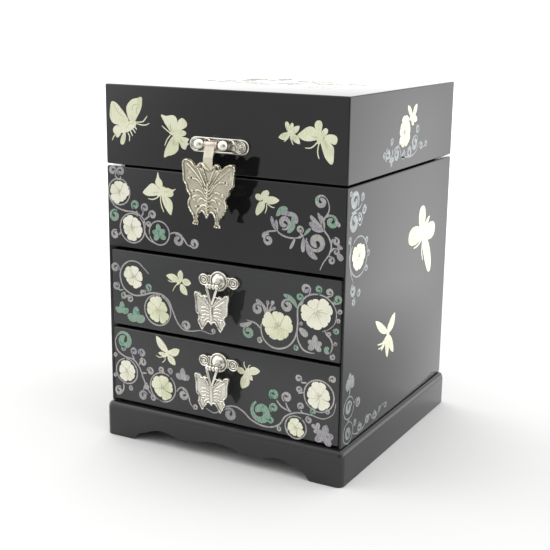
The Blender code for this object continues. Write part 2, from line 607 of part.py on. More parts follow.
def make_pull(number, face_y, plate_z, nickel, slide):
    """A plate with a dome and an eye, two rosette nails, and a butterfly that swings on a pin."""
    name = f"pull_{number}"
    back = face_y - REST_GAP
    front = back - PULL_PLATE
    length = (ROSETTE_X + ROSETTE_RADIUS) * 2
    outline = [(x, plate_z + up) for x, up in stadium(length, PULL_PLATE_HEIGHT)]
    plate = add(f"{name}_plate", prism(outline, "Y", front, back), nickel, slide)
    dome = [(-DOME_HEIGHT * sin(radians(a)), DOME_RADIUS * cos(radians(a))) for a in (0, 25, 50, 72)]
    dome = [(PULL_PLATE * 0.5, 0), (PULL_PLATE * 0.5, DOME_RADIUS)] + dome + [(-DOME_HEIGHT, 0)]
    boolean(plate, turned(dome), "UNION", (0, front, plate_z))
    at = Vector((0, face_y - PULL_OUT, plate_z - PULL_PIVOT_DROP))
    eye_back = PULL_OUT - PULL_PLATE - DOME_HEIGHT / 2
    eye = [(eye_back, -EYE_RADIUS * 0.8), (eye_back, EYE_RADIUS * 0.8)]
    eye += circle(EYE_RADIUS, (0, 0), 90, 180, 10)
    boolean(plate, prism(eye, "X", -EYE_WIDTH / 2, EYE_WIDTH / 2), "UNION", at)
    bore(plate, PIN_RADIUS + PIN_CLEARANCE, -EYE_WIDTH, EYE_WIDTH, at, "X")
    for x, word in ((-ROSETTE_X, "left"), (ROSETTE_X, "right")):
        bore(plate, NAIL_BORE, front - 0.001, back + 0.001, (x, 0, plate_z))
        rosette_nail(f"{name}_nail_{word}", x, front, PULL_PLATE, plate_z, nickel, slide)
    smooth(plate)

    swing = pivot(f"{name}_swing", at, slide)
    loop_in = EYE_WIDTH / 2 + REST_GAP
    loop_out = loop_in + LOOP_WIDTH
    smooth(add(f"{name}_pin", rod(PIN_RADIUS, -loop_out - REST_GAP, loop_out + REST_GAP), nickel, slide, at))
    pendant_back = at.y - PENDANT_OUT
    outline = both_wings(PENDANT_WING, at.z - PENDANT_DROP)
    wings = prism(outline, "Y", pendant_back - PENDANT, pendant_back)
    pendant = add(f"{name}_butterfly", wings, nickel, swing)
    arm_top = at.z - LOOP_RADIUS * 0.55
    meet = at.z - PENDANT_DROP + PENDANT_WING[0][1]
    arms = [
        (-loop_out, arm_top), (ARM_WIDTH - loop_out, arm_top), (0, meet + ARM_WIDTH),
        (loop_out - ARM_WIDTH, arm_top), (loop_out, arm_top),
        (ARM_WIDTH, meet - ARM_WIDTH), (-ARM_WIDTH, meet - ARM_WIDTH),
    ]
    boolean(pendant, prism(arms, "Y", pendant_back - ARM, pendant_back + 0.0001), "UNION")
    for side in (-1, 1):
        x0, x1 = sorted((side * loop_in, side * loop_out))
        boolean(pendant, rod(LOOP_RADIUS, x0, x1), "UNION", at)
    bore(pendant, PIN_RADIUS + PIN_CLEARANCE, -loop_out * 2, loop_out * 2, at, "X")
    smooth(pendant)


def main():
    for obj in list(bpy.data.objects):
        bpy.data.objects.remove(obj, do_unlink=True)
    finishes = {
        "lacquer": finish("black_lacquer", (0.012, 0.012, 0.014), 0.12),
        "velvet": finish("red_velvet", (0.22, 0.012, 0.02), 0.95),
        "nickel": finish("nickel", (0.72, 0.71, 0.66), 0.28, 1.0),
        "mirror": finish("mirror_glass", (0.85, 0.87, 0.88), 0.02, 1.0),
    }
    lid = pivot("lid_hinge", (0, BACK_Y + HINGE_OUT, HINGE_Z))
    hasp = pivot("hasp_hinge", (0, FRONT_Y - HASP_OUT, HASP_Z), lid)
    make_plinth(finishes["lacquer"])
    make_carcass(finishes["lacquer"])
    make_compartment(finishes["velvet"])
    make_hinges(finishes["nickel"], lid)
    make_keeper(finishes["nickel"])
    make_lid(finishes, lid)
    make_latch(finishes["nickel"], lid)
    make_hasp(finishes, hasp)
    make_drawer("upper", UPPER_DRAWER_Z, finishes)
    make_drawer("lower", LOWER_DRAWER_Z, finishes)


main()
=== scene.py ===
from math import cos, hypot, pi, radians, sin
import bmesh
import bpy
import numpy as np
from mathutils import Matrix, Vector
from mathutils.geometry import delaunay_2d_cdt


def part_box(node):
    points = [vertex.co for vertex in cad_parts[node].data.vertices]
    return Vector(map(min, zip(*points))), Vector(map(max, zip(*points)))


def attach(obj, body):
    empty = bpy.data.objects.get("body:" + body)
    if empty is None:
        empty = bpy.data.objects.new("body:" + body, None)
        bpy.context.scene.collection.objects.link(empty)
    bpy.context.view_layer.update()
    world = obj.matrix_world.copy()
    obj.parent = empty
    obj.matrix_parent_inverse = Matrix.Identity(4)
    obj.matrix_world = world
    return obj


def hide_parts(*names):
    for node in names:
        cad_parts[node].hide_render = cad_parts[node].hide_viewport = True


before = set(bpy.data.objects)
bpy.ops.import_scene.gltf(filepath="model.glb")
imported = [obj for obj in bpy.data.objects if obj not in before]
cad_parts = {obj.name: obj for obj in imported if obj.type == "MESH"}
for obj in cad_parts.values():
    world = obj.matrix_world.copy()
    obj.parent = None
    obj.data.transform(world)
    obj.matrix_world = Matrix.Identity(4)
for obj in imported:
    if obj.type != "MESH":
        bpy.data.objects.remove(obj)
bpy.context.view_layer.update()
mm = 0.001

# the armoire's own planes, read from its boards
sideLow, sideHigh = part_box("side_right")
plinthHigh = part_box("plinth_front")[1]
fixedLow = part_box("upper_front")[0]
halfWidth = sideHigh.x
frontY, backY = sideLow.y, sideHigh.y
depth = backY - frontY
wall = sideHigh.x - sideLow.x
caseBottom, caseTop = sideLow.z, sideHigh.z
lidBottom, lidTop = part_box("lid_front")[0].z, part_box("lid_top")[1].z
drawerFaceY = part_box("drawer_upper_front")[0].y


def newFinish(name):
    finish = bpy.data.materials.new(name)
    finish.use_nodes = True
    nodes, links = finish.node_tree.nodes, finish.node_tree.links
    return finish, nodes, links, nodes["Principled BSDF"]


def mottle(nodes, links, scale, detail=4.0, distortion=0.0):
    place = nodes.new("ShaderNodeTexCoord")
    noise = nodes.new("ShaderNodeTexNoise")
    noise.inputs["Scale"].default_value = scale
    noise.inputs["Detail"].default_value = detail
    noise.inputs["Distortion"].default_value = distortion
    links.new(place.outputs["Object"], noise.inputs["Vector"])
    return noise


def ramp(nodes, links, source, stops):
    band = nodes.new("ShaderNodeValToRGB")
    while len(band.color_ramp.elements) < len(stops):
        band.color_ramp.elements.new(0.5)
    for element, (spot, colour) in zip(band.color_ramp.elements, stops):
        element.position = spot
        element.color = (*colour, 1.0)
    links.new(source, band.inputs["Fac"])
    return band


def spread(nodes, links, source, low, high):
    band = nodes.new("ShaderNodeMapRange")
    band.inputs["To Min"].default_value = low
    band.inputs["To Max"].default_value = high
    links.new(source, band.inputs["Value"])
    return band


def grain(nodes, links, shader, source, strength, distance):
    bump = nodes.new("ShaderNodeBump")
    bump.inputs["Strength"].default_value = strength
    bump.inputs["Distance"].default_value = distance
    links.new(source, bump.inputs["Height"])
    links.new(bump.outputs["Normal"], shader.inputs["Normal"])


def tint(nodes, links, shader, tone, shade):  # the tone, darkened by the shade
    mix = nodes.new("ShaderNodeMix")
    mix.data_type, mix.blend_type = "RGBA", "MULTIPLY"
    mix.inputs["Factor"].default_value = 1.0
    links.new(tone.outputs["Color"], mix.inputs["A"])
    links.new(shade, mix.inputs["B"])
    links.new(mix.outputs["Result"], shader.inputs["Base Color"])


def makeLacquer(name, look):
    finish, nodes, links, shader = newFinish(name)
    clouds = mottle(nodes, links, look["clouds"], 5)
    tone = ramp(nodes, links, clouds.outputs["Fac"], [(0.3, look["dark"]), (0.75, look["light"])])
    links.new(tone.outputs["Color"], shader.inputs["Base Color"])
    gloss = spread(nodes, links, clouds.outputs["Fac"], *look["roughness"])
    links.new(gloss.outputs["Result"], shader.inputs["Roughness"])
    shader.inputs["IOR"].default_value = look["ior"]
    peel = mottle(nodes, links, look["peel"], 2)
    grain(nodes, links, shader, peel.outputs["Fac"], look["peelStrength"], 0.00004)
    return finish


def makeShell(name, look):
    finish, nodes, links, shader = newFinish(name)
    clouds = mottle(nodes, links, look["patch"], 5, look["twist"])
    tone = ramp(nodes, links, clouds.outputs["Fac"], look["colours"])
    place = nodes.new("ShaderNodeTexCoord")
    growth = nodes.new("ShaderNodeTexWave")  # growth lines of the shell
    growth.inputs["Scale"].default_value = look["lines"]
    growth.inputs["Distortion"].default_value = 9.0
    growth.inputs["Detail"].default_value = 3.0
    links.new(place.outputs["Object"], growth.inputs["Vector"])
    shade = spread(nodes, links, growth.outputs["Fac"], look["lineShade"], 1.0)
    tint(nodes, links, shader, tone, shade.outputs["Result"])
    gloss = spread(nodes, links, clouds.outputs["Fac"], 0.16, 0.34)
    links.new(gloss.outputs["Result"], shader.inputs["Roughness"])
    shader.inputs["Metallic"].default_value = look["metallic"]
    shader.inputs["Coat Weight"].default_value = 0.4
    shader.inputs["Coat Roughness"].default_value = 0.08
    grain(nodes, links, shader, growth.outputs["Fac"], 0.25, 0.00005)
    return finish


def makeMetal(name, look):
    finish, nodes, links, shader = newFinish(name)
    clouds = mottle(nodes, links, look["patch"], 6)
    tone = ramp(nodes, links, clouds.outputs["Fac"], [(0.25, look["dull"]), (0.7, look["bright"])])
    # darker in the hollows, by pointiness: partly the patina of the cast metal, partly painted shade
    # standing in for occlusion
    hollows = nodes.new("ShaderNodeNewGeometry")
    patinaAndShadeInHollows = ramp(nodes, links, hollows.outputs["Pointiness"], [(0.455, look["hollowPatinaAndShade"]), (0.515, (1, 1, 1))])
    tint(nodes, links, shader, tone, patinaAndShadeInHollows.outputs["Color"])
    gloss = spread(nodes, links, clouds.outputs["Fac"], *look["roughness"])
    links.new(gloss.outputs["Result"], shader.inputs["Roughness"])
    shader.inputs["Metallic"].default_value = 1.0
    cast = mottle(nodes, links, look["castGrain"], 3)
    grain(nodes, links, shader, cast.outputs["Fac"], look["castStrength"], 0.0001)
    return finish


def makeVelvet(name, look):
    finish, nodes, links, shader = newFinish(name)
    clouds = mottle(nodes, links, look["brushed"], 6, 0.6)
    tone = ramp(nodes, links, clouds.outputs["Fac"], [(0.3, look["deep"]), (0.7, look["raised"])])
    links.new(tone.outputs["Color"], shader.inputs["Base Color"])
    shader.inputs["Roughness"].default_value = 0.95
    shader.inputs["Sheen Weight"].default_value = 0.7
    shader.inputs["Sheen Roughness"].default_value = 0.35
    shader.inputs["Sheen Tint"].default_value = (*look["sheen"], 1.0)
    pile = mottle(nodes, links, look["pile"], 2)
    grain(nodes, links, shader, pile.outputs["Fac"], 0.5, 0.0003)
    return finish


lacquerLook = {
    "dark": (0.0085, 0.0085, 0.0095), "light": (0.0135, 0.0135, 0.0145), "clouds": 9.0,
    "roughness": (0.05, 0.09), "ior": 1.48, "peel": 420.0, "peelStrength": 0.10,
}
insideLook = dict(lacquerLook, dark=(0.010, 0.009, 0.009), light=(0.018, 0.016, 0.015),
    roughness=(0.35, 0.5))
creamLook = {
    "colours": [(0.30, (0.64, 0.67, 0.43)), (0.50, (0.81, 0.82, 0.59)), (0.72, (0.88, 0.87, 0.70))],
    "patch": 55.0, "twist": 0.8, "lines": 190.0, "lineShade": 0.90, "metallic": 0.0,
}
whiteLook = {
    "colours": [(0.30, (0.76, 0.77, 0.60)), (0.52, (0.87, 0.86, 0.71)), (0.70, (0.89, 0.85, 0.75))],
    "patch": 60.0, "twist": 1.0, "lines": 210.0, "lineShade": 0.92, "metallic": 0.0,
}
vineLook = {
    "colours": [
        (0.32, (0.34, 0.40, 0.38)), (0.44, (0.48, 0.45, 0.45)), (0.52, (0.52, 0.50, 0.46)),
        (0.62, (0.38, 0.35, 0.42)), (0.74, (0.42, 0.50, 0.44)),
    ],
    "patch": 85.0, "twist": 1.6, "lines": 260.0, "lineShade": 0.62, "metallic": 0.25,
}
greenLook = {
    "colours": [
        (0.34, (0.08, 0.30, 0.20)), (0.45, (0.22, 0.48, 0.32)), (0.53, (0.40, 0.44, 0.38)),
        (0.64, (0.20, 0.40, 0.28)),
    ],
    "patch": 240.0, "twist": 2.0, "lines": 300.0, "lineShade": 0.55, "metallic": 0.25,
}
purpleLook = dict(greenLook, colours=[
    (0.34, (0.27, 0.23, 0.34)), (0.45, (0.40, 0.35, 0.40)), (0.53, (0.46, 0.46, 0.43)),
    (0.64, (0.30, 0.33, 0.38)),
])
# the hollows of the metal fall to the darker hollow colour: partly patina, partly painted shade
silverLook = {
    "dull": (0.72, 0.70, 0.62), "bright": (0.86, 0.84, 0.77), "patch": 180.0, "hollowPatinaAndShade": (0.30, 0.28, 0.22),
    "roughness": (0.14, 0.26), "castGrain": 1100.0, "castStrength": 0.14,
}
copperLook = dict(silverLook, dull=(0.56, 0.46, 0.40), bright=(0.68, 0.58, 0.51), roughness=(0.28, 0.42))
velvetLook = {
    "deep": (0.020, 0.003, 0.005), "raised": (0.042, 0.006, 0.011), "sheen": (0.22, 0.09, 0.10),
    "brushed": 26.0, "pile": 1500.0,
}
lacquer = makeLacquer("blackLacquer", lacquerLook)
insideLacquer = makeLacquer("insideLacquer", insideLook)
# a lighter copy of the black lacquer for the drawer fronts: painted light, standing in for the light they
# catch
drawerLacquerPaintedLight = makeLacquer("drawerLacquerPaintedLight",
    dict(lacquerLook, dark=(0.026, 0.027, 0.027), light=(0.036, 0.037, 0.037)))
# a lighter copy of the black lacquer for the plinth: painted light, standing in for the light it catches
plinthLacquerPaintedLight = makeLacquer("plinthLacquerPaintedLight",
    dict(lacquerLook, dark=(0.018, 0.017, 0.019), light=(0.026, 0.025, 0.027)))
creamShell = makeShell("creamShell", creamLook)
whiteShell = makeShell("whiteShell", whiteLook)
vineShell = makeShell("vineShell", vineLook)
greenShell = makeShell("greenShell", greenLook)
purpleShell = makeShell("purpleShell", purpleLook)
# the side scrolls are cut from duller shell
sideLook = dict(greenLook, patch=200.0, lineShade=0.6, colours=[
    (0.32, (0.17, 0.23, 0.23)), (0.46, (0.26, 0.29, 0.30)), (0.56, (0.30, 0.32, 0.32)),
    (0.68, (0.18, 0.27, 0.25)),
])
sideShell = makeShell("sideShell", sideLook)
engraved = makeMetal("engravedLine",
    dict(silverLook, dull=(0.34, 0.34, 0.26), bright=(0.46, 0.45, 0.36), roughness=(0.5, 0.7)))
silver = makeMetal("castSilver", silverLook)
warmSilver = makeMetal("warmSilver",
    dict(silverLook, dull=(0.60, 0.57, 0.45), bright=(0.74, 0.70, 0.58), hollowPatinaAndShade=(0.22, 0.20, 0.15)))
copper = makeMetal("copperBarrel", copperLook)
velvet = makeVelvet("redVelvet", velvetLook)
mirrorGlass = makeMetal("mirrorGlass",
    dict(silverLook, dull=(0.84, 0.87, 0.88), bright=(0.88, 0.90, 0.91), roughness=(0.01, 0.03),
         castStrength=0.0, hollowPatinaAndShade=(0.9, 0.9, 0.9)))
print("finishes ready")


def setDown(name, bm):
    mesh = bpy.data.meshes.new(name)
    bm.to_mesh(mesh)
    bm.free()
    piece = bpy.data.objects.new(name, mesh)
    bpy.context.scene.collection.objects.link(piece)
    return piece


def soften(piece, degrees):  # round where faces meet at less than this
    piece.data.shade_smooth()
    piece.data.set_sharp_from_angle(angle=radians(degrees))


def keep(name, bm, finish, body, nodes=(), smoothAngle=35):
    bmesh.ops.recalc_face_normals(bm, faces=bm.faces)
    piece = setDown(name, bm)
    piece.data.materials.append(finish)
    soften(piece, smoothAngle)
    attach(piece, body)
    if nodes:
        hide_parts(*nodes)
    return piece


def boxShape(low, high):
    bm = bmesh.new()
    bmesh.ops.create_cube(bm, size=1.0)
    low, high = Vector(low), Vector(high)
    for vert in bm.verts:
        vert.co = Vector((low[i] + (vert.co[i] + 0.5) * (high[i] - low[i]) for i in range(3)))
    return bm


def softBox(low, high, radius, segments=3):
    bm = boxShape(low, high)
    bmesh.ops.bevel(bm, geom=bm.edges[:], offset=radius, segments=segments, profile=0.5, affect="EDGES")
    return bm


def loft(rows, closed=True, caps=True):
    bm = bmesh.new()
    made = [[bm.verts.new(co) for co in row] for row in rows]
    for first, second in zip(made, made[1:]):
        for i in range(len(first) if closed else len(first) - 1):
            j = (i + 1) % len(first)
            bm.faces.new((first[i], first[j], second[j], second[i]))
    if caps:
        bm.faces.new(made[0])
        bm.faces.new(made[-1])
    return bm


def carve(piece, shape, operation="DIFFERENCE"):
    bmesh.ops.recalc_face_normals(shape, faces=shape.faces)
    carver = setDown("carver", shape)
    mesh = carver.data
    modifier = piece.modifiers.new("carve", "BOOLEAN")
    modifier.operation, modifier.object, modifier.solver = operation, carver, "EXACT"
    graph = bpy.context.evaluated_depsgraph_get()
    cut = bpy.data.meshes.new_from_object(piece.evaluated_get(graph))
    piece.modifiers.clear()
    old = piece.data
    piece.data = cut
    bpy.data.meshes.remove(old)
    bpy.data.objects.remove(carver)
    bpy.data.meshes.remove(mesh)


def roundedSquare(halfX, halfY, middleY, radius, z, steps=5):
    points = []
    for cornerX, cornerY, start in ((1, 1, 0), (-1, 1, 90), (-1, -1, 180), (1, -1, 270)):
        for i in range(steps + 1):
            angle = radians(start + 90 * i / steps)
            x = cornerX * (halfX - radius) + radius * cos(angle)
            y = cornerY * (halfY - radius) + radius * sin(angle)
            points.append((x, middleY + y, z))
    return points


seamTrim = {"lid": 0.00055, "case": 0.00045}  # the rims are dressed a little into the seam
middleY = (frontY + backY) / 2
halfDepth = depth / 2
cabinetLook = {"edge": 0.0009, "corner": 0.0011, "drawerEdge": 0.0013}


def quarter(steps):  # shares of a rounded edge, from its foot up
    return [(1 - sin(pi / 2 * i / steps), 1 - cos(pi / 2 * i / steps)) for i in range(steps + 1)]


def circle(steps):
    return [(cos(2 * pi * i / steps), sin(2 * pi * i / steps)) for i in range(steps)]


def squareLoft(levels, corner):
    rows = [roundedSquare(halfWidth + out, halfDepth + out, middleY, corner + max(out, 0), z)
            for out, z in levels]
    return loft(rows)


def roundedLevels(bottom, top, edge, steps=4):
    levels = [(-edge * inward, bottom + edge * up) for inward, up in quarter(steps)]
    return levels + [(out, top - (z - bottom)) for out, z in reversed(levels)]


def makeCase(look):
    body = squareLoft(roundedLevels(caseBottom, caseTop + seamTrim["case"], look["edge"]), look["corner"])
    boards = ("side_left", "side_right", "case_back", "upper_front", "compartment_floor",
              "drawer_divider", "base_panel")
    case = keep("caseShell", body, lacquer, "case", boards)
    inner = halfWidth - wall
    innerFront, innerBack = frontY + wall, backY - wall
    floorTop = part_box("compartment_floor")[1].z
    carve(case, boxShape((-inner, innerFront, floorTop), (inner, innerBack, caseTop + 0.01)))
    nose = fixedLow.x + halfWidth
    over = 0.004
    mouth = [(-halfWidth + nose - over, frontY - over), (halfWidth - nose + over, frontY - over)]
    mouth += [(inner - 0.0002, frontY + wall), (-inner + 0.0002, frontY + wall)]
    carve(case, loft([[(x, y, z) for x, y in mouth] for z in (caseBottom - 0.01, fixedLow.z)]))
    for shelf, above in (("base_panel", "drawer_divider"), ("drawer_divider", "compartment_floor")):
        low = (-inner, frontY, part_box(shelf)[1].z)
        high = (inner, innerBack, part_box(above)[0].z)
        carve(case, boxShape(low, high))
    soften(case, 30)
    return case


def makeLid(look):
    body = squareLoft(roundedLevels(lidBottom - seamTrim["lid"], lidTop, look["edge"]), look["corner"])
    lid = keep("lidShell", body, lacquer, "lid",
               ("lid_top", "lid_front", "lid_back", "lid_left", "lid_right"))
    inner = halfWidth - wall
    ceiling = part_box("lid_top")[0].z
    carve(lid, boxShape((-inner, frontY + wall, lidBottom - 0.01), (inner, backY - wall, ceiling)))
    soften(lid, 30)
    return lid


plinthLook = {
    "round": 5.0, "corner": 1.4,
    # right half of the shaped lower edge, from the middle out: (x, z) in mm
    "scallop": [(0, 11.5), (10, 10.6), (19, 8.6), (26, 7.8), (33, 8.4), (41, 10.1), (47, 10.6), (53, 9.6),
                (57, 8.0), (61, 6.6), (64.5, 5.2), (67, 3.4), (69, 1.2), (71, 0.0)],
}


def smoothPath(points, steps=6, closed=False):  # a soft curve through the points
    count = len(points)
    path = []
    for i in range(count if closed else count - 1):
        quad = [points[(i + k) % count] if closed else points[min(max(i + k, 0), count - 1)]
                for k in (-1, 0, 1, 2)]
        for s in range(steps):
            t = s / steps
            weights = (
                (-t + 2 * t * t - t ** 3) / 2, (2 - 5 * t * t + 3 * t ** 3) / 2,
                (t + 4 * t * t - 3 * t ** 3) / 2, (t ** 3 - t * t) / 2,
            )
            path.append(tuple(sum(w * p[k] for w, p in zip(weights, quad)) for k in range(len(points[0]))))
    if not closed:
        path.append(tuple(points[-1]))
    return path


def makePlinth(look):
    proud = plinthHigh.x - halfWidth
    top = plinthHigh.z
    roundHeight = look["round"] * mm
    outer = [(proud - 0.0003, 0.0), (proud, 0.0003)]
    outer += [(proud * (1 - inward), top - roundHeight * down) for down, inward in quarter(7)]
    inner = [(-wall, top), (-wall, 0.0)]
    rows = [roundedSquare(halfWidth + out, halfDepth + out, middleY, look["corner"] * mm + max(out, 0),
        z) for out, z in outer]
    rows += [roundedSquare(halfWidth + out, halfDepth + out, middleY, 0.0005, z) for out, z in inner]
    bm = loft(rows + rows[:1], caps=False)
    bmesh.ops.remove_doubles(bm, verts=bm.verts, dist=1e-6)
    nodes = ("plinth_front", "plinth_back", "plinth_left", "plinth_right")
    plinth = keep("plinthShell", bm, plinthLacquerPaintedLight, "case", nodes)
    right = smoothPath(look["scallop"], 3)
    edge = [(-x, z) for x, z in reversed(right[1:])] + right
    edge = [(-right[-1][0], -3)] + edge + [(right[-1][0], -3)]
    far = frontY + wall + 0.002
    near = frontY - proud - 0.002
    carve(plinth, loft([[(x * mm, y, z * mm) for x, z in edge] for y in (near, far)]))
    soften(plinth, 32)
    return plinth


makeCase(cabinetLook)
makeLid(cabinetLook)
makePlinth(plinthLook)
print("case, lid and plinth made")


def makeDrawer(which, look):
    low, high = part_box(f"drawer_{which}_front")
    thick = high.y - low.y
    edge = look["drawerEdge"]
    rows = [(edge * inward, low.y + edge * back, edge * 1.2) for inward, back in quarter(4)]
    rows.append((thick - 0.0002, high.y, 0.0004))
    loops = []
    for inset, y, corner in rows:
        upright = min(inset, edge)
        x, z0, z1 = high.x - inset, low.z + upright, high.z - upright
        corner = max(corner - upright, 0.0003)
        loop = []
        for sx, sz, start in ((1, 1, 0), (-1, 1, 90), (-1, -1, 180), (1, -1, 270)):
            cx = sx * (x - corner)
            cz = (z1 - corner) if sz > 0 else (z0 + corner)
            for k in range(4):
                a = radians(start + 30 * k)
                loop.append((cx + corner * cos(a), y, cz + corner * sin(a)))
        loops.append(loop)
    keep(f"drawerPanel_{which}", loft(loops), drawerLacquerPaintedLight, f"drawer_{which}",
         (f"drawer_{which}_front",))
    for part in ("side_left", "side_right", "back", "bottom"):
        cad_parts[f"drawer_{which}_{part}"].material_slots[0].material = insideLacquer


for which in ("upper", "lower"):
    makeDrawer(which, cabinetLook)
print("drawers made")


def velvetTray(name, node, thick, body, upsideDown=False):
    low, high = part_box(node)
    soft = thick * 0.45
    rim, outside = (low.z, high.z) if upsideDown else (high.z, low.z)
    down = 1 if upsideDown else -1
    inside = outside - down * thick
    rows = [(0, outside)]
    rows += [(soft * b, rim + down * soft * a) for a, b in quarter(3)]
    rows += [(thick - soft * a, rim + down * soft * b) for a, b in quarter(3)]
    rows += [(thick, inside - down * soft), (thick + soft, inside)]
    middle, half, corner = (low + high) / 2, (high - low) / 2, 0.0006
    loops = []
    for inset, z in rows:
        loop = roundedSquare(half.x - inset, half.y - inset, middle.y, corner, z, 3)
        loops.append([(middle.x + x, y, z) for x, y, z in loop])
    keep(name, loft(loops), velvet, body, (node,), 60)


velvetThick = 0.0012
velvetTray("compartmentLining", "compartment_liner", velvetThick, "case")
velvetTray("lidLining", "lid_liner", velvetThick, "lid", True)
for which in ("upper", "lower"):
    velvetTray(f"drawerLining_{which}", f"drawer_{which}_liner", velvetThick, f"drawer_{which}")
for node in ("partition_long", "partition_cross"):
    low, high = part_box(node)
    keep(f"{node}_velvet", softBox(low, high, 0.0011), velvet, "case", (node,), 60)


rollLook = {"around": 22, "along": 30, "slack": 0.97, "voxel": 0.0017, "pressure": 4.0, "frames": 20,
            "mostMove": 0.0009}


def puffOut(bm, look, low, high):
    press = setDown("rollPress", bm)
    remesh = press.modifiers.new("remesh", "REMESH")
    remesh.mode = "VOXEL"
    remesh.voxel_size = look["voxel"]
    even = bpy.data.meshes.new_from_object(press.evaluated_get(bpy.context.evaluated_depsgraph_get()))
    press.modifiers.clear()
    press.data = even
    cloth = press.modifiers.new("cloth", "CLOTH")
    cloth.settings.use_pressure = True
    cloth.settings.uniform_pressure_force = look["pressure"]
    cloth.settings.effector_weights.gravity = 0
    for tick in range(1, look["frames"] + 1):
        bpy.context.scene.frame_set(tick)
    puffed = press.evaluated_get(bpy.context.evaluated_depsgraph_get()).data
    ends = [point.co.copy() for point in puffed.vertices]
    bpy.context.scene.frame_set(1)
    shape = bmesh.new()
    shape.from_mesh(even)
    for vertex, blown in zip(shape.verts, ends):
        move = blown - vertex.co
        move.length = min(move.length, look["mostMove"])
        vertex.co += move
        for k in range(3):
            vertex.co[k] = min(max(vertex.co[k], low[k]), high[k])  # stays in its own slot
    bpy.data.objects.remove(press)
    bmesh.ops.subdivide_edges(shape, edges=shape.edges, cuts=1, use_grid_fill=True, smooth=0.5)
    return shape


def makeRingRoll(number, look):
    node = f"ring_roll_{number}"
    low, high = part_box(node)
    around, along = look["around"], look["along"]
    radius = (high.y - low.y) / 2 * look["slack"]
    middle = (low.y + high.y) / 2
    rows = []
    for i in range(along + 1):
        t = i / along
        x = low.x + (high.x - low.x) * t
        fromEnd = min(t, 1 - t) * (high.x - low.x)
        tuck = 1 - 0.16 * (1 - min(fromEnd / 0.006, 1)) ** 2  # gathered ends
        row = []
        for k in range(around):
            angle = pi * k / (around - 1)
            wave = 1 + 0.006 * sin(7 * angle + number) * sin(40 * t + number)
            y = middle + radius * tuck * wave * 0.99 * cos(angle)
            z = high.z - radius + radius * tuck * wave * 0.99 * sin(angle)
            row.append((x, y, z))
        row += [(x, middle - radius * tuck * 0.97, low.z + 0.0005),
                (x, middle + radius * tuck * 0.97, low.z + 0.0005)]
        rows.append(row)
    form = loft(rows)
    form = puffOut(form, look, low, high)
    roll = keep(f"ringRoll_{number}", form, velvet, "case", (node,), 180)


for number in (1, 2, 3):
    makeRingRoll(number, rollLook)
low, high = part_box("lid_mirror")
keep("lidMirror", softBox(low, high, 0.0006, 2), mirrorGlass, "lid", ("lid_mirror",))
print("lining, ring rolls and mirror made")


# drawn in mm on each panel, as (across, up), and laid a hair proud of the lacquer

def frontPanel(y):
    return lambda u, v, out: (u * mm, y - out, v * mm)


def rightPanel(u, v, out):
    return (halfWidth + out, frontY + u * mm, v * mm)


def leftPanel(u, v, out):
    return (-halfWidth - out, frontY + u * mm, v * mm)


def topPanel(u, v, out):
    return (u * mm, middleY + v * mm, lidTop + out)


inlayLook = {"sunk": 0.00015, "proud": 0.00006,
             "uneven": 0.000004}  # uneven: each piece sits higher or lower


class InlaySheet:  # the shell pieces of one colour on one panel, gathered in one mesh
    def __init__(self, panel):
        self.panel, self.bm, self.count = panel, bmesh.new(), 0

    def heights(self, lift):
        self.count += 1
        return -inlayLook["sunk"], inlayLook["proud"] + lift + inlayLook["uneven"] * (self.count % 5)

    def plate(self, outline, lift=0.0):
        low, high = self.heights(lift)
        front = [self.bm.verts.new(self.panel(u, v, high)) for u, v in outline]
        back = [self.bm.verts.new(self.panel(u, v, low)) for u, v in outline]
        self.bm.faces.new(front)
        self.bm.faces.new(back)
        for i in range(len(front)):
            j = (i + 1) % len(front)
            self.bm.faces.new((front[i], front[j], back[j], back[i]))

    def skin(self, corners):
        rows = [[self.bm.verts.new(self.panel(*corner)) for corner in row] for row in corners]
        for first, second in zip(rows, rows[1:]):
            for i in range(4):
                j = (i + 1) % 4
                self.bm.faces.new((first[i], first[j], second[j], second[i]))
        self.bm.faces.new(rows[0])
        self.bm.faces.new(rows[-1])

    def ribbon(self, path, widths, lift=0.0):
        low, high = self.heights(lift)
        rows = []
        for i, (u, v) in enumerate(path):
            before, after = path[max(i - 1, 0)], path[min(i + 1, len(path) - 1)]
            du, dv = after[0] - before[0], after[1] - before[1]
            size = hypot(du, dv) or 1
            nu, nv = -dv / size * widths[i] / 2, du / size * widths[i] / 2
            rows.append([(u + nu, v + nv, high), (u - nu, v - nv, high), (u - nu, v - nv, low),
                         (u + nu, v + nv, low)])
        self.skin(rows)

    def band(self, outer, inner, lift=0.0):
        low, high = self.heights(lift)
        self.skin([((*far, high), (*near, high), (*near, low), (*far, low))
                   for near, far in zip(inner, outer)])


def petal(root, tip, width, blunt=(0.8, 0.42), bend=0.0, steps=14):  # fullest where blunt says
    du, dv = tip[0] - root[0], tip[1] - root[1]
    size = hypot(du, dv)
    au, av = du / size, dv / size
    rise, fall = blunt
    peak = rise / (rise + fall)
    most = peak ** rise * (1 - peak) ** fall
    left, right = [], []
    for i in range(steps + 1):
        t = (1 - cos(pi * i / steps)) / 2
        half = max(width / 2 * t ** rise * (1 - t) ** fall / most, 0.12)
        sway = bend * sin(pi * t)
        cu, cv = root[0] + du * t - av * sway, root[1] + dv * t + au * sway
        left.append((cu - av * half, cv + au * half))
        right.append((cu + av * half, cv - au * half))
    return left + right[::-1]


def taper(path, wide, start=0.35, end=0.2):
    count = len(path) - 1
    swell = [start + (1 - start) * min(4 * i / count, 1) for i in range(count + 1)]
    fade = [end + (1 - end) * min(3 * (count - i) / count, 1) for i in range(count + 1)]
    return [wide * a * b for a, b in zip(swell, fade)]


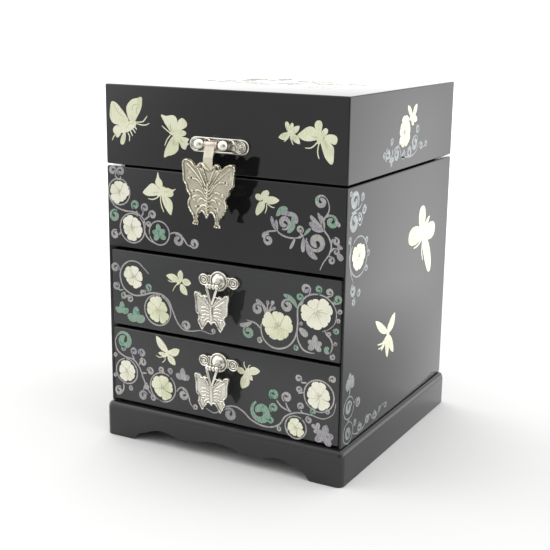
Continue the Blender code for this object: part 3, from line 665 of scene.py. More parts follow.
def blossom(sheets, u, v, radius, tone="white", turn=0, petals=5):
    sheet = sheets[tone]
    lean = radians(turn * 7 + 200)
    heart = (u + radius * 0.16 * cos(lean),
             v + radius * 0.16 * sin(lean))  # off the middle, as if seen aslant
    for i in range(petals):
        middle = radians(turn) + 2 * pi * i / petals
        reach = radius * (0.94 + 0.10 * sin(2.4 * i + turn))
        spread = pi / petals * (1.04 + 0.10 * sin(1.7 * i + turn))
        outline = [heart]
        for k in range(19):
            s = k / 18
            angle = middle + spread * (2 * s - 1)
            lobes = abs(sin(2 * pi * s)) ** 0.55 + 0.62 * sin(pi * s) ** 6
            r = reach * min(0.79 + 0.21 * lobes, 1.0)
            outline.append((u + r * cos(angle), v + r * sin(angle)))
        sheet.plate(outline, 0.00002 * i)
        edge = [(heart[0] + (outline[-1][0] - heart[0]) * k,
                 heart[1] + (outline[-1][1] - heart[1]) * k) for k in (0.15, 0.6, 0.97)]
        sheets["line"].ribbon(edge, [0.10, 0.16, 0.10], 0.00011)
    for off, length in ((-1.1, 0.30), (-0.6, 0.42), (-0.15, 0.36), (0.3, 0.46), (0.8, 0.34), (1.3, 0.40)):
        path = [(heart[0] - radius * k * cos(lean + off), heart[1] - radius * k * sin(lean + off))
                for k in (0.08, length * 0.6, length)]
        sheets["line"].ribbon(path, [0.20, 0.26, 0.12], 0.00012)


def curl(sheets, u, v, radius, start, hand=1, tone="vine", turns=1.22):  # a stem rolled up to a round eye
    outer, inner = [], []
    steps = 26
    for i in range(steps + 1):
        t = i / steps
        angle = radians(start) + hand * 2 * pi * turns * t
        wide = radius * (1 if t < 0.42 else 1 - 0.50 * ((t - 0.42) / 0.58) ** 0.9)
        near = radius * (0.80 - 0.78 * (t / 0.66) ** 1.15 if t < 0.66 else 0.02)
        outer.append((u + wide * cos(angle), v + wide * sin(angle)))
        inner.append((u + near * cos(angle), v + near * sin(angle)))
    sheets[tone].band(outer, inner)


def ring(sheets, u, v, radius, wide=1.0, tone="vine", start=0, sweep=352, squash=1.0):
    steps = 40
    path = []
    for i in range(steps + 1):
        angle = radians(start + sweep * i / steps)
        path.append((u + (radius - wide / 2) * cos(angle), v + (radius - wide / 2) * sin(angle) * squash))
    sheets[tone].ribbon(path, [wide * (0.75 + 0.25 * sin(pi * i / steps)) for i in range(steps + 1)])


def vine(sheets, points, wide=1.1, tone="vine", end=0.3, start=0.5):
    path = smoothPath(points, 7)
    sheets[tone].ribbon(path, taper(path, wide, start, end))


def leaf(sheets, u, v, length, angle, tone="green", lobes=3, wide=None):  # lobes on one root
    wide = wide or length * 0.55
    for i in range(lobes):
        off = radians(angle + (i - (lobes - 1) / 2) * 62)
        reach = length * (1 if i == (lobes - 1) / 2 else 0.78)
        sheets[tone].plate(petal((u, v), (u + reach * cos(off), v + reach * sin(off)), wide,
            (0.7, 0.6)), 0.00001 * i)


leafWing, roundWing = (0.72, 0.80), (0.66, 0.42)  # how soon a wing swells, how blunt its tip is


def butterflyInlay(sheets, shape):
    tone = shape.get("tone", "cream")
    sheet = sheets[tone]
    for i, (root, tip, wide, bend, *blunt) in enumerate(shape["wings"]):
        sheet.plate(petal(root, tip, wide, blunt[0] if blunt else leafWing, bend), 0.00001 * i)
        for share, sway in ((0.72, 0.16), (0.66, -0.18)):
            du, dv = tip[0] - root[0], tip[1] - root[1]
            path = [(root[0] + du * k - dv * sway * k, root[1] + dv * k + du * sway * k)
                    for k in (0.25, 0.45, share)]
            sheets["line"].ribbon(path, [0.10, 0.16, 0.05], 0.00007)
    for i, outline in enumerate(shape.get("outlines", ())):
        sheet.plate(smoothPath(outline, 4, True), 0.00001 * i)
    for line in shape.get("engraved", ()):
        path = smoothPath(line, 4)
        sheets["line"].ribbon(path, taper(path, 0.26, 0.5, 0.4), 0.00008)
    tail, head, wide = shape["body"]
    sheet.plate(petal(tail, head, wide, (0.55, 0.40)), 0.00005)
    for feeler in shape.get("feelers", ()):
        path = smoothPath(feeler, 5)
        sheet.ribbon(path, taper(path, shape.get("feelerWide", 0.8), 0.7, 0.5))


def layInlay(place, panel, body, plan, scrollShell=None):
    tones = {"cream": creamShell, "white": whiteShell, "vine": vineShell, "green": greenShell,
             "purple": purpleShell, "line": engraved}
    if scrollShell:
        tones.update(vine=scrollShell, green=scrollShell, purple=scrollShell)
    sheets = {tone: InlaySheet(panel) for tone in tones}
    drawScrolls(sheets, plan)
    for tone, sheet in sheets.items():
        if len(sheet.bm.verts):
            keep(f"inlay_{place}_{tone}", sheet.bm, tones[tone], body, (), 20)
        else:
            sheet.bm.free()


lidButterflies = [
    {"outlines": [
        [(-70, 224.4), (-72, 228.4), (-72.6, 232.9), (-70.7, 236.2), (-67.4, 238.7), (-63.6, 239.6),
         (-60.3, 240.4), (-59.8, 237.9),
         (-60.3, 234.1), (-61.8, 230.6), (-63.8, 227.4), (-66.3, 224.1)],
        [(-70.9, 224), (-73.4, 228.3), (-77, 232.2), (-80.3, 235.3), (-83.7, 236.6), (-85.3, 235.2),
         (-86.1, 230.9), (-86.4, 226.7),
         (-85.3, 223.7), (-83.1, 221.8), (-78.9, 221), (-74.4, 219.9)],
        [(-74, 219.8), (-78.9, 220.8), (-82, 220.3), (-83.8, 218.3), (-83.6, 216.1), (-82.1, 214.5),
         (-81.4, 213.1), (-80.1, 212.6),
         (-78.4, 214), (-77.1, 215.9), (-74.6, 216.4)]],
     "wings": [((-74, 217), (-77, 208.2), 3.8, 0, (0.7, 0.4))],
     "body": ((-78, 216.5), (-65, 223.8), 5.8),
     "engraved": [[(-66.5, 223), (-70, 222.4), (-73.5, 219.2)], [(-83, 235), (-79.5, 229.5), (-75, 226.5)],
                  [(-68, 231), (-66.8, 235), (-62, 235.4)], [(-64.5, 229), (-64.5, 232.5), (-62.5, 234)]],
     "feelers": [[(-65.3, 223.8), (-59.8, 224.3), (-57.4, 226.4), (-55.9, 228.4)],
                 [(-64.9, 223), (-60.8, 222.2), (-57.1, 222.4), (-54.3, 223.6)],
                 [(-71.8, 216.6), (-70.4, 214), (-70.7, 210.7)],
                 [(-70.3, 218.5), (-69, 216.6), (-67.9, 214.3)],
                 [(-68.6, 219.8), (-67, 218.4), (-65.5, 216.5)],
                 [(-66.9, 221), (-65.5, 220.2), (-64.4, 218.7)],
                 [(-82.3, 214.4), (-83.6, 212.8), (-84.7, 210.6)]]},
    {"outlines": [
        [(-37.3, 219.2), (-40.8, 222.9), (-43.2, 226.2), (-44.9, 229.8), (-41, 229.2), (-36.3, 230),
         (-33.6, 229.1), (-32.3, 226.6), (-32.3, 222.8), (-33.2, 219.8)],
        [(-33, 219.6), (-31.9, 225.8), (-30.1, 227.9), (-28.2, 228.5), (-25.9, 227), (-24.7, 224.8),
         (-25.6, 222.9), (-28.5, 221.2), (-31.1, 220)],
        [(-34.7, 216.8), (-37.1, 215.3), (-39.6, 211.7), (-41.6, 208.2), (-42.5, 205.4), (-42.8, 202.1),
         (-39.6, 203.3), (-35.8, 204.4),
         (-32.7, 206.5), (-31.4, 209.2), (-31.4, 213), (-32.9, 216.4)],
        [(-32.6, 217.3), (-28.7, 216.6), (-25, 216.1), (-23.2, 215.1), (-24.7, 213.5), (-23.6, 212.2),
         (-24.9, 210.8), (-26.1, 208.5),
         (-28.7, 209.1), (-30.3, 211.6), (-32.1, 214.5)]],
     "wings": [], "body": ((-38.5, 218.2), (-25.4, 219), 4.2),
     "engraved": [[(-35.5, 219), (-37.5, 221.5), (-37.8, 224.5)],
                  [(-34.5, 216), (-35.5, 212.5), (-35, 210)], [(-30.5, 215), (-28.5, 213.5), (-27, 213.5)]],
     "feelers": [[(-37.6, 218.4), (-40.5, 220), (-44.3, 222.6)],
                 [(-37.7, 217), (-40.3, 214), (-42.3, 209.8)]]},
    {"wings": [((50, 223.6), (42.2, 220.8), 4.4, 0.5), ((49.8, 224), (47.4, 230.8), 3.0, 0, roundWing),
               ((50.4, 224.3), (51.7, 230.3), 2.5, 0, roundWing),
               ((50.8, 223.8), (56.6, 228.6), 3.8, 0), ((50.4, 223.4), (57.1, 217.8), 4.2, 0.4)],
     "body": ((47, 223), (53, 224.2), 3.0), "feelerWide": 0.8,
     "feelers": [[(49.5, 222.2), (48, 220.2), (46, 218.5)], [(50.2, 221.8), (51.2, 219.6), (52.4, 217)]]},
    {"outlines": [
        [(55.2, 223), (58, 225.6), (60.8, 227.8), (63.6, 228.9), (66.1, 228.4), (67.8, 226.9),
         (68.9, 224.3), (69.4, 221.4), (67.1, 220.7),
         (64, 220), (60.5, 220), (57.7, 221)],
        [(69.4, 222.4), (68.3, 225.9), (66.9, 229), (67.1, 231.2), (68.2, 232.5), (69.9, 232.8),
         (71.3, 232.3), (72, 230.1), (71.7, 227.6), (71, 224.7), (70.4, 222.4)],
        [(72.6, 221.4), (74.5, 224), (76.6, 224.9), (79, 225), (81.1, 224.3), (82.2, 222.8),
         (82, 220.6), (81.1, 219.2), (79.7, 219.1), (77.6, 219.7), (74.8, 219.4)],
        [(71.2, 219.5), (72.4, 215.3), (74.1, 211.2), (75.9, 208.8), (77.6, 207.3), (78.9, 207),
         (79.9, 208.4), (80.1, 212.2), (80.1, 216.3),
         (79.2, 218.2), (76.6, 220.3), (72.7, 221)]],
     "wings": [((70.6, 222), (75.3, 228.2), 3.6, 0, roundWing)],
     "body": ((69.4, 218.4), (71.6, 224.5), 3.6),
     "engraved": [[(77, 217.5), (74.8, 219.6), (73.2, 223)],
                  [(69, 222.4), (66.5, 222.6), (64.8, 223.4)], [(73, 220.5), (75, 217.5), (75.6, 216)]],
     "feelers": [[(69.4, 220.5), (67.1, 217.8), (64.3, 215.9), (60.6, 215.7)],
                 [(70.1, 219.2), (69.2, 214.8), (69.6, 211.6), (70.4, 209.8)]]},
]


upperPanel = {
    "butterflies": [
        {"outlines": [
            [(-60.3, 177.6), (-56.9, 181.2), (-53.3, 184), (-50.1, 183.5), (-47.8, 181.4),
             (-45.2, 178.9), (-47.8, 176.9), (-51.9, 175.7), (-56.5, 175.4), (-59.2, 176.3)],
            [(-48, 192), (-46.9, 188.4), (-44.8, 186), (-44.4, 183.1), (-45, 180), (-48.2, 182.1),
             (-50.2, 184.9), (-49.4, 187.4), (-48.8, 189.2)],
            [(-45.6, 179), (-43.7, 181.5), (-40, 182.1), (-36.8, 181.3), (-34, 182), (-36, 179.9),
             (-35.9, 177.8), (-38.2, 176.2), (-41.4, 176.6), (-44.6, 177.4)],
            [(-45.2, 178), (-44.6, 173.1), (-42.8, 169.2), (-40, 165.6), (-38, 164.2), (-37.3, 165.7),
             (-36.5, 169.5), (-37.1, 173.1), (-40, 175.9)]],
         "wings": [], "body": ((-48.5, 175.6), (-42.5, 182.4), 3.4),
         "engraved": [[(-47, 178.6), (-49.5, 178.4), (-52, 177.6)],
                      [(-43.5, 176), (-42, 173), (-41, 171)], [(-43.5, 179.4), (-41.5, 179.2), (-40, 180)]],
         "feelers": [[(-46.4, 177.4), (-49.2, 174.6), (-52.8, 173.3), (-56.2, 173.6)],
                     [(-46.2, 176.5), (-45.7, 170.6), (-43.6, 165.6)]]},
        {"outlines": [
            [(43.3, 181.8), (39.2, 183.8), (34.7, 183.2), (33.2, 180.6), (35.5, 178.8), (40, 179.3)],
            [(34.7, 187.4), (36, 185.2), (33.1, 180.6), (30.2, 183.4), (31.4, 186.1)],
            [(26.3, 183.8), (26.7, 181.2), (29.4, 180.3), (31.8, 181.6), (29, 184.6)],
            [(27.3, 170.7), (26.4, 173), (27.6, 177.2), (29.8, 179.9), (33.1, 178.4), (32.3, 175),
             (29.8, 172.2)]],
         "wings": [], "body": ((29.5, 177.5), (36, 182.5), 2.6), "feelerWide": 0.7,
         "feelers": [[(34.4, 179), (34.3, 175.5), (33.2, 172.4)],
                     [(35, 178.8), (37.6, 177.2), (40.2, 176.8)]]},
    ],
    "blossoms": [(-80, 176, 8.2, 20), (-69.5, 152, 8.8, 50)],
    "rings": [(-80, 176, 9.4, 40), (-69.5, 152, 10.6, 60), (-47.5, 151, 8.6, 200)],
    # middle, size, start angle, hand, tone where it isn't vine
    "curls": [
        (-85, 190, 3.4, -60, 1), (-78.5, 190, 3.4, -120, -1, "purple"), (-84, 159.5, 4.4, 60, 1, "green"),
        (-84, 146.5, 3.4, 60, 1), (-67, 168, 3.4, 240, -1, "green"), (-59, 167, 3.2, 250, -1, "purple"),
        (-53, 162.8, 3.2, 220, -1), (-56.2, 156, 2.2, 200, -1), (-20, 147, 3.6, 200, 1),
        (-32.5, 148, 4.2, 120, -1, "purple"),
        (35.8, 156, 3.7, 80, 1), (47, 167.8, 4.6, 250, 1), (58.3, 164.8, 2.6, 300, 1),
        (69.6, 157.9, 6.1, 205, 1), (72.6, 183.8, 4.3, 50, 1), (79.8, 172, 4.4, 140, -1, "green"),
        (83, 160.2, 2.7, 150, -1), (83.4, 153.8, 2.4, 160, -1, "purple"), (80.3, 147.9, 2.5, 120, -1),
    ],
    # root, tip, width, bend, tone where it isn't vine
    "petals": [
        (70.9, 184.6, 68.4, 185.6, 3.0, 0, "green"), (82.6, 172.6, 85.3, 169.4, 2.4, 0.3),
        (75, 166, 65.1, 174.4, 3.2, 0.5), (75, 166, 70.3, 176.6, 2.5, -0.4, "purple"),
        (75, 166, 72.9, 175.2, 1.5, -0.6),
        (75, 166, 64.4, 169.8, 3.8, 0.4, "purple"), (75, 165.6, 66.2, 166.4, 1.5, 0.8),
        (63, 158.6, 70.4, 147.2, 4.0, -1.9, "purple"), (61, 161.4, 65.7, 166.4, 2.1, 0.2, "green"),
        (60.8, 160.4, 60.5, 150.8, 3.0, 0),
        (60.6, 161.4, 56.9, 159.4, 1.6, 0), (55, 159.4, 51.4, 151.8, 2.0, 0.2),
        (41.3, 171.6, 49.2, 177.6, 4.4, 1.0, "green"), (44.5, 173.2, 51.8, 173.4, 3.2, 0.9, "purple"),
        (50, 175.2, 56.2, 168.6, 3.9, 1.3),
        (52.6, 173, 49.8, 161.8, 3.8, 1.9, "green"), (41.2, 162.4, 37.8, 171.2, 2.5, 0.4, "purple"),
        (42.4, 162.6, 41.2, 169.4, 2.0, 0),
        (36.5, 160.6, 31.4, 157.2, 2.8, -0.8),
        (83.9, 159.2, 87.6, 155.8, 2.6, -0.6, "purple"), (84, 153, 87.8, 148.8, 4.0, 0, "purple"),
    ],
    "vines": [
        [(-83, 187), (-81, 184.5), (-80, 185)], [(-78.5, 186.5), (-79, 184.5), (-80.5, 184.8)],
        [(-88, 171), (-84, 166), (-76, 163.5), (-67, 163), (-60, 159), (-58.5, 153)],
        [(-66, 164.5), (-65, 162.5), (-64, 161.5)], [(-60, 164), (-61.5, 161.5), (-62.5, 160)],
        [(-55.5, 162), (-57.5, 160), (-59.5, 159)], [(-81, 146), (-79.5, 148), (-78.5, 150)],
        [(-60, 158), (-59, 150), (-55.5, 145.5), (-49, 142.8)],
        [(-40, 150.5), (-36, 152.5), (-31, 152), (-27.5, 148.5), (-25, 145.5), (-22, 144.6)],
        [(72.6, 141), (75, 146), (78.3, 150.8), (79.9, 155.2), (79.6, 159), (77.8, 162.7), (75.1, 166),
         (74, 170.2), (75.1, 173.7),
         (77.4, 177.3), (78, 181.2), (76.4, 185.6), (73.5, 187.8)],
        [(75.3, 174), (77, 175.6), (79.5, 176.2)], [(79.8, 157.6), (80.4, 160.4), (82, 162.4)],
        [(79.8, 153.2), (81, 155), (82.6, 155.9)],
        [(78.3, 150.4), (79, 150.4), (80, 150.2)],
        [(42, 163), (43.4, 161.2), (46.9, 159.6), (51, 158.9), (55.4, 159.2), (60.8, 160.8)],
        [(42, 162.4), (38.5, 161.8), (35.4, 161.2), (32.6, 159.8)],
        [(60.8, 161), (58.8, 162.4), (58.6, 163)],
        [(63.2, 160), (62.6, 158), (63.9, 155)],
    ],
    "leaves": [
        (-47.5, 150, 7.4, 100, "green", 5),
    ],
}


def drawScrolls(sheets, plan):
    for points in plan.get("vines", ()):
        vine(sheets, points)
    for u, v, size, start in plan.get("rings", ()):
        ring(sheets, u, v, size, 1.0, "vine", start)
    for u, v, size, start, hand, *tone in plan.get("curls", ()):
        curl(sheets, u, v, size, start, hand, *tone)
    for rootU, rootV, tipU, tipV, wide, bend, *tone in plan.get("petals", ()):
        sheets[(tone or ["vine"])[0]].plate(petal((rootU, rootV), (tipU, tipV), wide, roundWing, bend))
    for u, v, length, angle, tone, lobes in plan.get("leaves", ()):
        leaf(sheets, u, v, length, angle, tone, lobes)
    for blossomSpec in plan.get("blossoms", ()):
        u, v, size, turn = blossomSpec[:4]
        blossom(sheets, u, v, size, *(blossomSpec[4:] or ("white",)), turn=turn)
    for shape in plan.get("butterflies", ()):
        butterflyInlay(sheets, shape)


upperDrawer = {
    "butterflies": [
        {"wings": [((-32, 119.5), (-42.5, 122.5), 5, -0.6), ((-31.5, 121), (-31, 127.5), 4.4, 0),
                   ((-30, 120), (-22.8, 119.5), 5, 0),
                   ((-31, 118), (-26, 111), 5, -0.5)],
         "body": ((-34, 117), (-29.5, 123), 2.6), "feelerWide": 0.6,
         "feelers": [[(-33.5, 118), (-36, 115), (-37.5, 112)], [(-35, 119), (-39, 118.5), (-41.5, 119.5)]]},
    ],
    "blossoms": [(-69.5, 118, 8.2, 10), (-50, 97, 9.6, 30, "cream"), (43, 100.5, 11.0, 15, "cream"),
                 (71, 112.5, 11.2, 40)],
    "rings": [(-50, 97, 11.2, 80)],
    "curls": [
        (-85, 122.5, 3.6, -30, 1, "purple"), (-84.5, 110, 3.2, 60, -1, "purple"),
        (-78, 103.5, 2.6, 60, 1, "green"),
        (-73, 102, 2.6, 100, -1), (-57.5, 112, 2.9, 230, 1, "green"), (-62, 108, 2.6, 60, -1),
        (-27, 89.5, 3.6, 200, -1), (-5.5, 89, 1.9, 250, 1),
        (21.6, 93, 4.3, 110, 1, "green"), (30.4, 88.7, 2.2, 60, 1), (28.5, 109.6, 4.0, 40, 1),
        (49.9, 114.8, 4.4, 60, 1), (58.9, 121.4, 2.6, -40, 1, "green"), (63.1, 127.2, 3.5, -50, 1),
        (71.8, 128.2, 2.6, -80, 1, "green"), (79.3, 127.2, 2.8, -110, 1), (85, 123.6, 3.1, 200, 1, "green"),
        (86.7, 116.1, 1.8, 180, 1), (85.8, 110.1, 1.6, 180, 1), (84.6, 103.3, 2.2, 150, 1, "green"),
        (79.8, 100.6, 1.7, 120, 1), (84.2, 94.8, 1.5, 180, 1, "purple"), (82.3, 85.9, 2.1, 90, -1),
        (59.8, 104.5, 1.4, 180, 1, "purple"), (57, 87.8, 2.1, 60, 1, "green"),
    ],
    "petals": [
        (24.5, 100.2, 15.0, 96.6, 3.3, 0.9), (31.4, 113.8, 27, 115.4, 2.8, 0.3, "purple"),
        (34.2, 105.6, 31.2, 114.2, 1.9, -0.8),
        (35.5, 112.8, 35.9, 116, 2.5, 0, "purple"), (38.4, 113.2, 39.9, 116.4, 2.5, 0),
        (38.4, 110.4, 41.6, 112.2, 2.5, 0, "purple"),
        (57.6, 113.5, 47.2, 121.8, 3.4, -1.6, "green"), (58.7, 101.4, 64.6, 96.6, 4.6, 0),
    ],
    "vines": [
        [(-57, 121.5), (-61, 125), (-66, 128.5), (-73, 128.5), (-79, 124), (-81, 117), (-78, 109),
         (-70, 105), (-62, 106), (-55, 108.5),
         (-47, 108.5), (-41, 105), (-38, 99), (-34, 91), (-29, 86.5), (-22, 86.5), (-15, 88),
         (-8, 86.8), (-4.5, 87.5)],
        [(-78, 106), (-76, 103), (-74, 104.5)], [(-80, 101), (-77, 103), (-73, 104.5)],
        [(-83, 107.5), (-80.5, 107), (-78.5, 108)],
        [(30.6, 96.4), (28.4, 98.6), (25.4, 100), (20, 100.8)],
        [(31.6, 100.4), (33.4, 104.4), (34.6, 106.4), (34, 110), (33, 112.4), (31, 114.4)],
        [(35, 106.2), (35.3, 109.6), (35.7, 114)], [(35.2, 106.6), (37, 110), (39, 114.4)],
        [(36, 108.2), (38, 109.8), (39.6, 111)],
        [(36.6, 107.8), (34.8, 106.4), (31.6, 100.5), (30.9, 96.5), (32.6, 90.5), (36.4, 86.8),
         (40.8, 85.1), (45.7, 85.4), (50.7, 87.7),
         (54.5, 91.8), (56.7, 97), (57.6, 103.4), (57.3, 110.7), (57.8, 115.1), (60.6, 119.5),
         (63.9, 122.9), (68.8, 124.8), (74.9, 124.6),
         (79.8, 122.2), (83.2, 118.4), (84.6, 113.3), (83.4, 107.6), (79.8, 103.8), (74.9, 101.2)],
        [(57.2, 99), (57.8, 93.8), (59.5, 90.2), (62.2, 87.2), (66.6, 86.1), (70, 86.4)],
        [(76.6, 102.6), (78, 100), (80.4, 98), (82.2, 94.4), (81.9, 90.5), (80.4, 87.6)],
        [(58.4, 116.2), (60.4, 117.4), (61.2, 120)], [(63.4, 122.4), (65, 123.6), (66, 125.6)],
        [(71.6, 124.8), (72.2, 125.2), (72.4, 126)],
        [(76.4, 124), (78.4, 124), (79, 124.8)], [(80.6, 121.6), (83.2, 120.6), (86, 121.2)],
    ],
    "leaves": [
        (-80, 91, 8.0, 90, "green", 3), (-68, 86.5, 10.5, 90, "green", 3),
        (70, 91.4, 7.0, 90, "vine", 5), (76.6, 89.6, 5.0, 0, "green", 2),
    ],
}

lowerDrawer = {
    "butterflies": [
        {"wings": [((-42, 68), (-51.5, 78.5), 5.6, 0.8), ((-41, 67.5), (-32.5, 71.5), 5.4, -0.5),
                   ((-42, 66), (-36, 60), 5, 0),
                   ((-43, 66), (-50, 66.5), 3, 0)],
         "body": ((-46, 64), (-39, 70), 2.8), "feelerWide": 0.6,
         "feelers": [[(-45, 65), (-49, 63.5), (-52, 64.5)], [(-44, 64), (-45, 61.5), (-47, 60)]]},
        {"wings": [((21, 65), (30.5, 67.5), 5.6, 0.5), ((19, 65), (13, 65.5), 4.6, 0),
                   ((20, 63), (17, 53), 6.6, 0.6),
                   ((21, 64), (25, 60), 3.4, 0)],
         "body": ((18, 60.5), (22, 68), 2.8), "feelerWide": 0.6,
         "feelers": [[(20, 67), (18.5, 69.5), (18.5, 72)], [(21.5, 67), (22, 69.5), (23.5, 70.5)],
                     [(22, 61), (22.5, 58), (21.5, 55.5)]]},
    ],
    "blossoms": [(-77, 48.5, 7.8, 25), (-46.5, 42, 9.2, 10, "cream"), (57.5, 33.5, 6.4, 30, "cream"),
                 (73.5, 58, 9.4, 18)],
    "rings": [(-77, 48.5, 9.6, 100), (-46.5, 42, 11.0, 60), (57.5, 33.8, 8.2, 60), (73.8, 58.2, 11.2, 250)],
    "curls": [
        (-79, 71, 6.6, 150, -1, "green"), (-70.5, 64, 3.0, 250, -1, "purple"),
        (-64, 64, 3.2, 200, -1, "purple"),
        (-63.2, 57.5, 3.0, 160, -1), (-57, 52, 3.0, 180, -1), (-79.5, 65, 2.0, 0, -1),
        (-84, 33, 3.6, 60, 1), (-73.5, 36.5, 2.0, 60, 1), (-63, 33, 3.8, 20, 1, "purple"),
        (-60, 40, 2.4, 60, 1), (-54.5, 33, 2.4, 100, 1), (-47.5, 54.5, 2.4, 250, -1),
        (-40.5, 55, 2.4, 250, 1, "purple"), (-29.5, 40, 4.0, 100, -1), (-20, 33, 2.2, 180, 1),
        (7.5, 33, 4.8, 150, -1, "purple"), (31.5, 39.5, 8.0, 120, 1, "green"),
        (41, 53, 3.8, 240, -1, "green"),
        (50.5, 53, 3.8, 240, -1), (41, 44, 3.4, 250, -1, "green"), (39, 35.5, 2.8, 80, 1, "green"),
        (45.5, 30.5, 2.0, 80, 1),
        (59, 67.5, 2.6, -50, 1), (59.5, 60, 2.4, -40, 1), (83, 71, 2.6, 220, -1),
        (61, 49, 2.6, 250, -1), (70, 47, 2.4, 260, -1, "green"), (67, 41, 2.6, 90, 1, "purple"),
        (80, 49, 1.8, 200, 1),
        (-86.5, 59, 1.8, 0, 1), (-87, 44, 1.7, 0, 1),
    ],
    "vines": [
        [(-84.5, 74), (-86.5, 69), (-84.5, 62.5), (-78, 59), (-71, 58), (-66, 53), (-63, 46), (-59, 38),
         (-53, 33), (-46, 31)],
        [(-72, 61), (-71, 59.5), (-70, 57.5)], [(-64, 61), (-65, 58), (-66, 55)],
        [(-60, 50), (-63, 49.5), (-64.5, 49)],
        [(-80, 39), (-80, 35), (-82, 31)],
        [(-35, 41), (-32, 44.5), (-28, 44), (-25.5, 40), (-24, 35), (-21, 31.5)],
        [(-63, 37), (-61.5, 41), (-60, 43)], [(-47, 52), (-46, 53.5), (-45, 52.5)],
        [(-11, 33.5), (-5, 31.5), (0, 34), (5, 38), (12, 39.2), (18, 37), (24, 32.5), (32, 30),
         (40, 30.5), (46, 34), (50, 40), (58, 44), (68, 44.5), (77, 43.5), (84, 48), (86, 56)],
        [(43, 50), (47, 46), (54, 43.5)], [(50, 49.5), (51.5, 46), (54, 44)],
        [(61, 46.5), (62, 45), (63, 44.5)],
        [(59, 57.5), (61.5, 58.5), (62.8, 58.5)], [(61, 65), (63.5, 65.5), (65, 65.5)],
    ],
    "leaves": [
        (-30, 51, 8.0, 90, "purple", 3), (-31, 52, 5.0, 20, "vine", 2), (78, 31, 9.0, 80, "purple", 5),
        (74, 36, 5.5, 160, "vine", 3),
        (52, 31, 3.0, 200, "vine", 2),
    ],
}
sideLid = {
    "butterflies": [
        {"wings": [((99, 229), (91, 236.5), 4.6, 0), ((101, 229), (107.5, 236.5), 5.6, 0),
                   ((100, 228), (108.5, 226), 5, 0),
                   ((99, 228), (102, 222.5), 5, 0), ((98, 229), (94, 226.5), 3, 0)],
         "body": ((97.5, 225.5), (101.5, 231.5), 3.0), "feelerWide": 0.7},
    ],
    "blossoms": [(87.5, 219.5, 10.6, 90, "cream")],
    "curls": [
        (60, 207.5, 4.4, 100, 1, "green"), (66, 214.5, 2.8, 0, 1), (75, 206, 4.6, 60, 1),
        (86, 204.5, 3.4, 100, -1),
        (96.5, 206, 4.2, 150, 1, "green"), (106, 210.5, 5.4, 60, 1), (110, 219, 3.4, -60, 1, "purple"),
        (118, 208, 3.2, 100, 1), (126.5, 208.5, 2.8, 120, 1, "green"), (54, 207, 2.4, 0, 1),
    ],
    "vines": [
        [(52, 208), (57, 203.5), (64, 204.5), (71, 210), (78, 210.5), (83, 203.5), (91, 202.5),
         (99, 202), (108, 204), (115, 210), (122, 206), (129, 208)],
        [(66, 211), (67, 208), (68, 206)], [(109, 216), (110, 213), (110, 210)],
    ],
    "leaves": [(66, 204.5, 6.0, 270, "green", 3), (80, 212, 4.0, 120, "vine", 2)],
}
sideCase = {
    "butterflies": [
        {"wings": [((127.5, 144), (126.5, 164), 13.0, 0, roundWing),
                   ((131, 143), (102.0, 144.5), 13.5, -0.5, roundWing),
                   ((130, 143), (153.5, 143.5), 13.0, 0, roundWing),
                   ((130, 142), (146.5, 112.5), 12.0, 1.0, (0.4, 0.42)),
                   ((130, 145), (141.5, 154.5), 5.0, 0)],
         "body": ((129, 133), (132.5, 151), 4.6), "feelerWide": 1.5,
         "feelers": [[(128, 139.5), (121, 136.5), (112.5, 135.5)],
                     [(129, 137), (128.8, 130), (131.5, 123.5)]]},
        {"wings": [((71, 85), (49.5, 98), 6.0, 0.8), ((72, 85), (83, 96), 8.5, -0.6),
                   ((72, 83), (82.5, 68), 6.5, 0), ((70, 83), (72, 67), 6.5, 0),
                   ((70, 83), (61, 74.5), 4.0, 0)],
         "body": ((70, 76), (73, 91), 4.6), "feelerWide": 1.2,
         "feelers": [[(69, 82), (62, 79.5), (54.5, 80.5)], [(69, 80), (62, 77), (56, 77)]]},
    ],
    "blossoms": [(19, 148, 9.8, 15, "cream")],
    "rings": [(19, 148, 13.4, 140), (11, 50, 8.0, 30), (11, 33, 7.8, 60)],
    "curls": [
        (11, 184, 6.4, -40, 1, "green"), (11, 171, 6.6, 60, 1, "green"), (22, 185.5, 3.0, 200, 1),
        (25, 177.5, 3.4, 180, 1),
        (18.5, 173, 3.2, 160, -1, "purple"), (5, 189, 2.0, -60, 1), (12, 127.5, 4.2, 90, 1),
        (13, 120, 2.8, 90, -1, "purple"),
        (20.5, 124.5, 2.8, 180, 1), (5.5, 160, 2.4, 0, 1), (11, 50, 5.0, 0, 1, "green"),
        (11, 33, 4.6, 0, -1, "green"),
        (25, 50, 3.6, 180, 1, "green"), (29.5, 31, 3.8, 90, 1), (21, 37, 2.6, 200, 1),
        (41.5, 33, 3.6, 100, 1, "green"),
        (54, 31.5, 3.6, 90, 1), (72, 33, 2.6, 120, 1, "green"), (62, 33.5, 2.0, 90, 1),
        (33.5, 148, 2.4, 180, 1, "purple"),
        (30, 157, 2.4, 200, 1), (31, 138.5, 2.4, 160, 1, "purple"),
    ],
    "vines": [
        [(6, 177), (12, 178), (18, 179), (22, 182)], [(6, 163), (6.5, 156), (5.5, 148), (8, 139), (12, 132)],
        [(16, 170), (20, 168), (24, 174)], [(18, 50), (21, 52), (23, 53.5)],
        [(11, 58), (12, 62), (12, 66)], [(11, 42), (11, 41), (11, 40.5)],
        [(18, 30), (24, 28), (31, 27.5), (38, 30.5), (45, 34.5), (51, 29.5), (58, 30), (66, 34.5), (74, 32)],
    ],
    "leaves": [(12, 64, 9.5, 95, "green", 3), (12, 66, 8.0, 180, "vine", 2),
               (12, 66, 8.5, 10, "vine", 2), (7, 167, 3.0, 100, "vine", 2)],
}
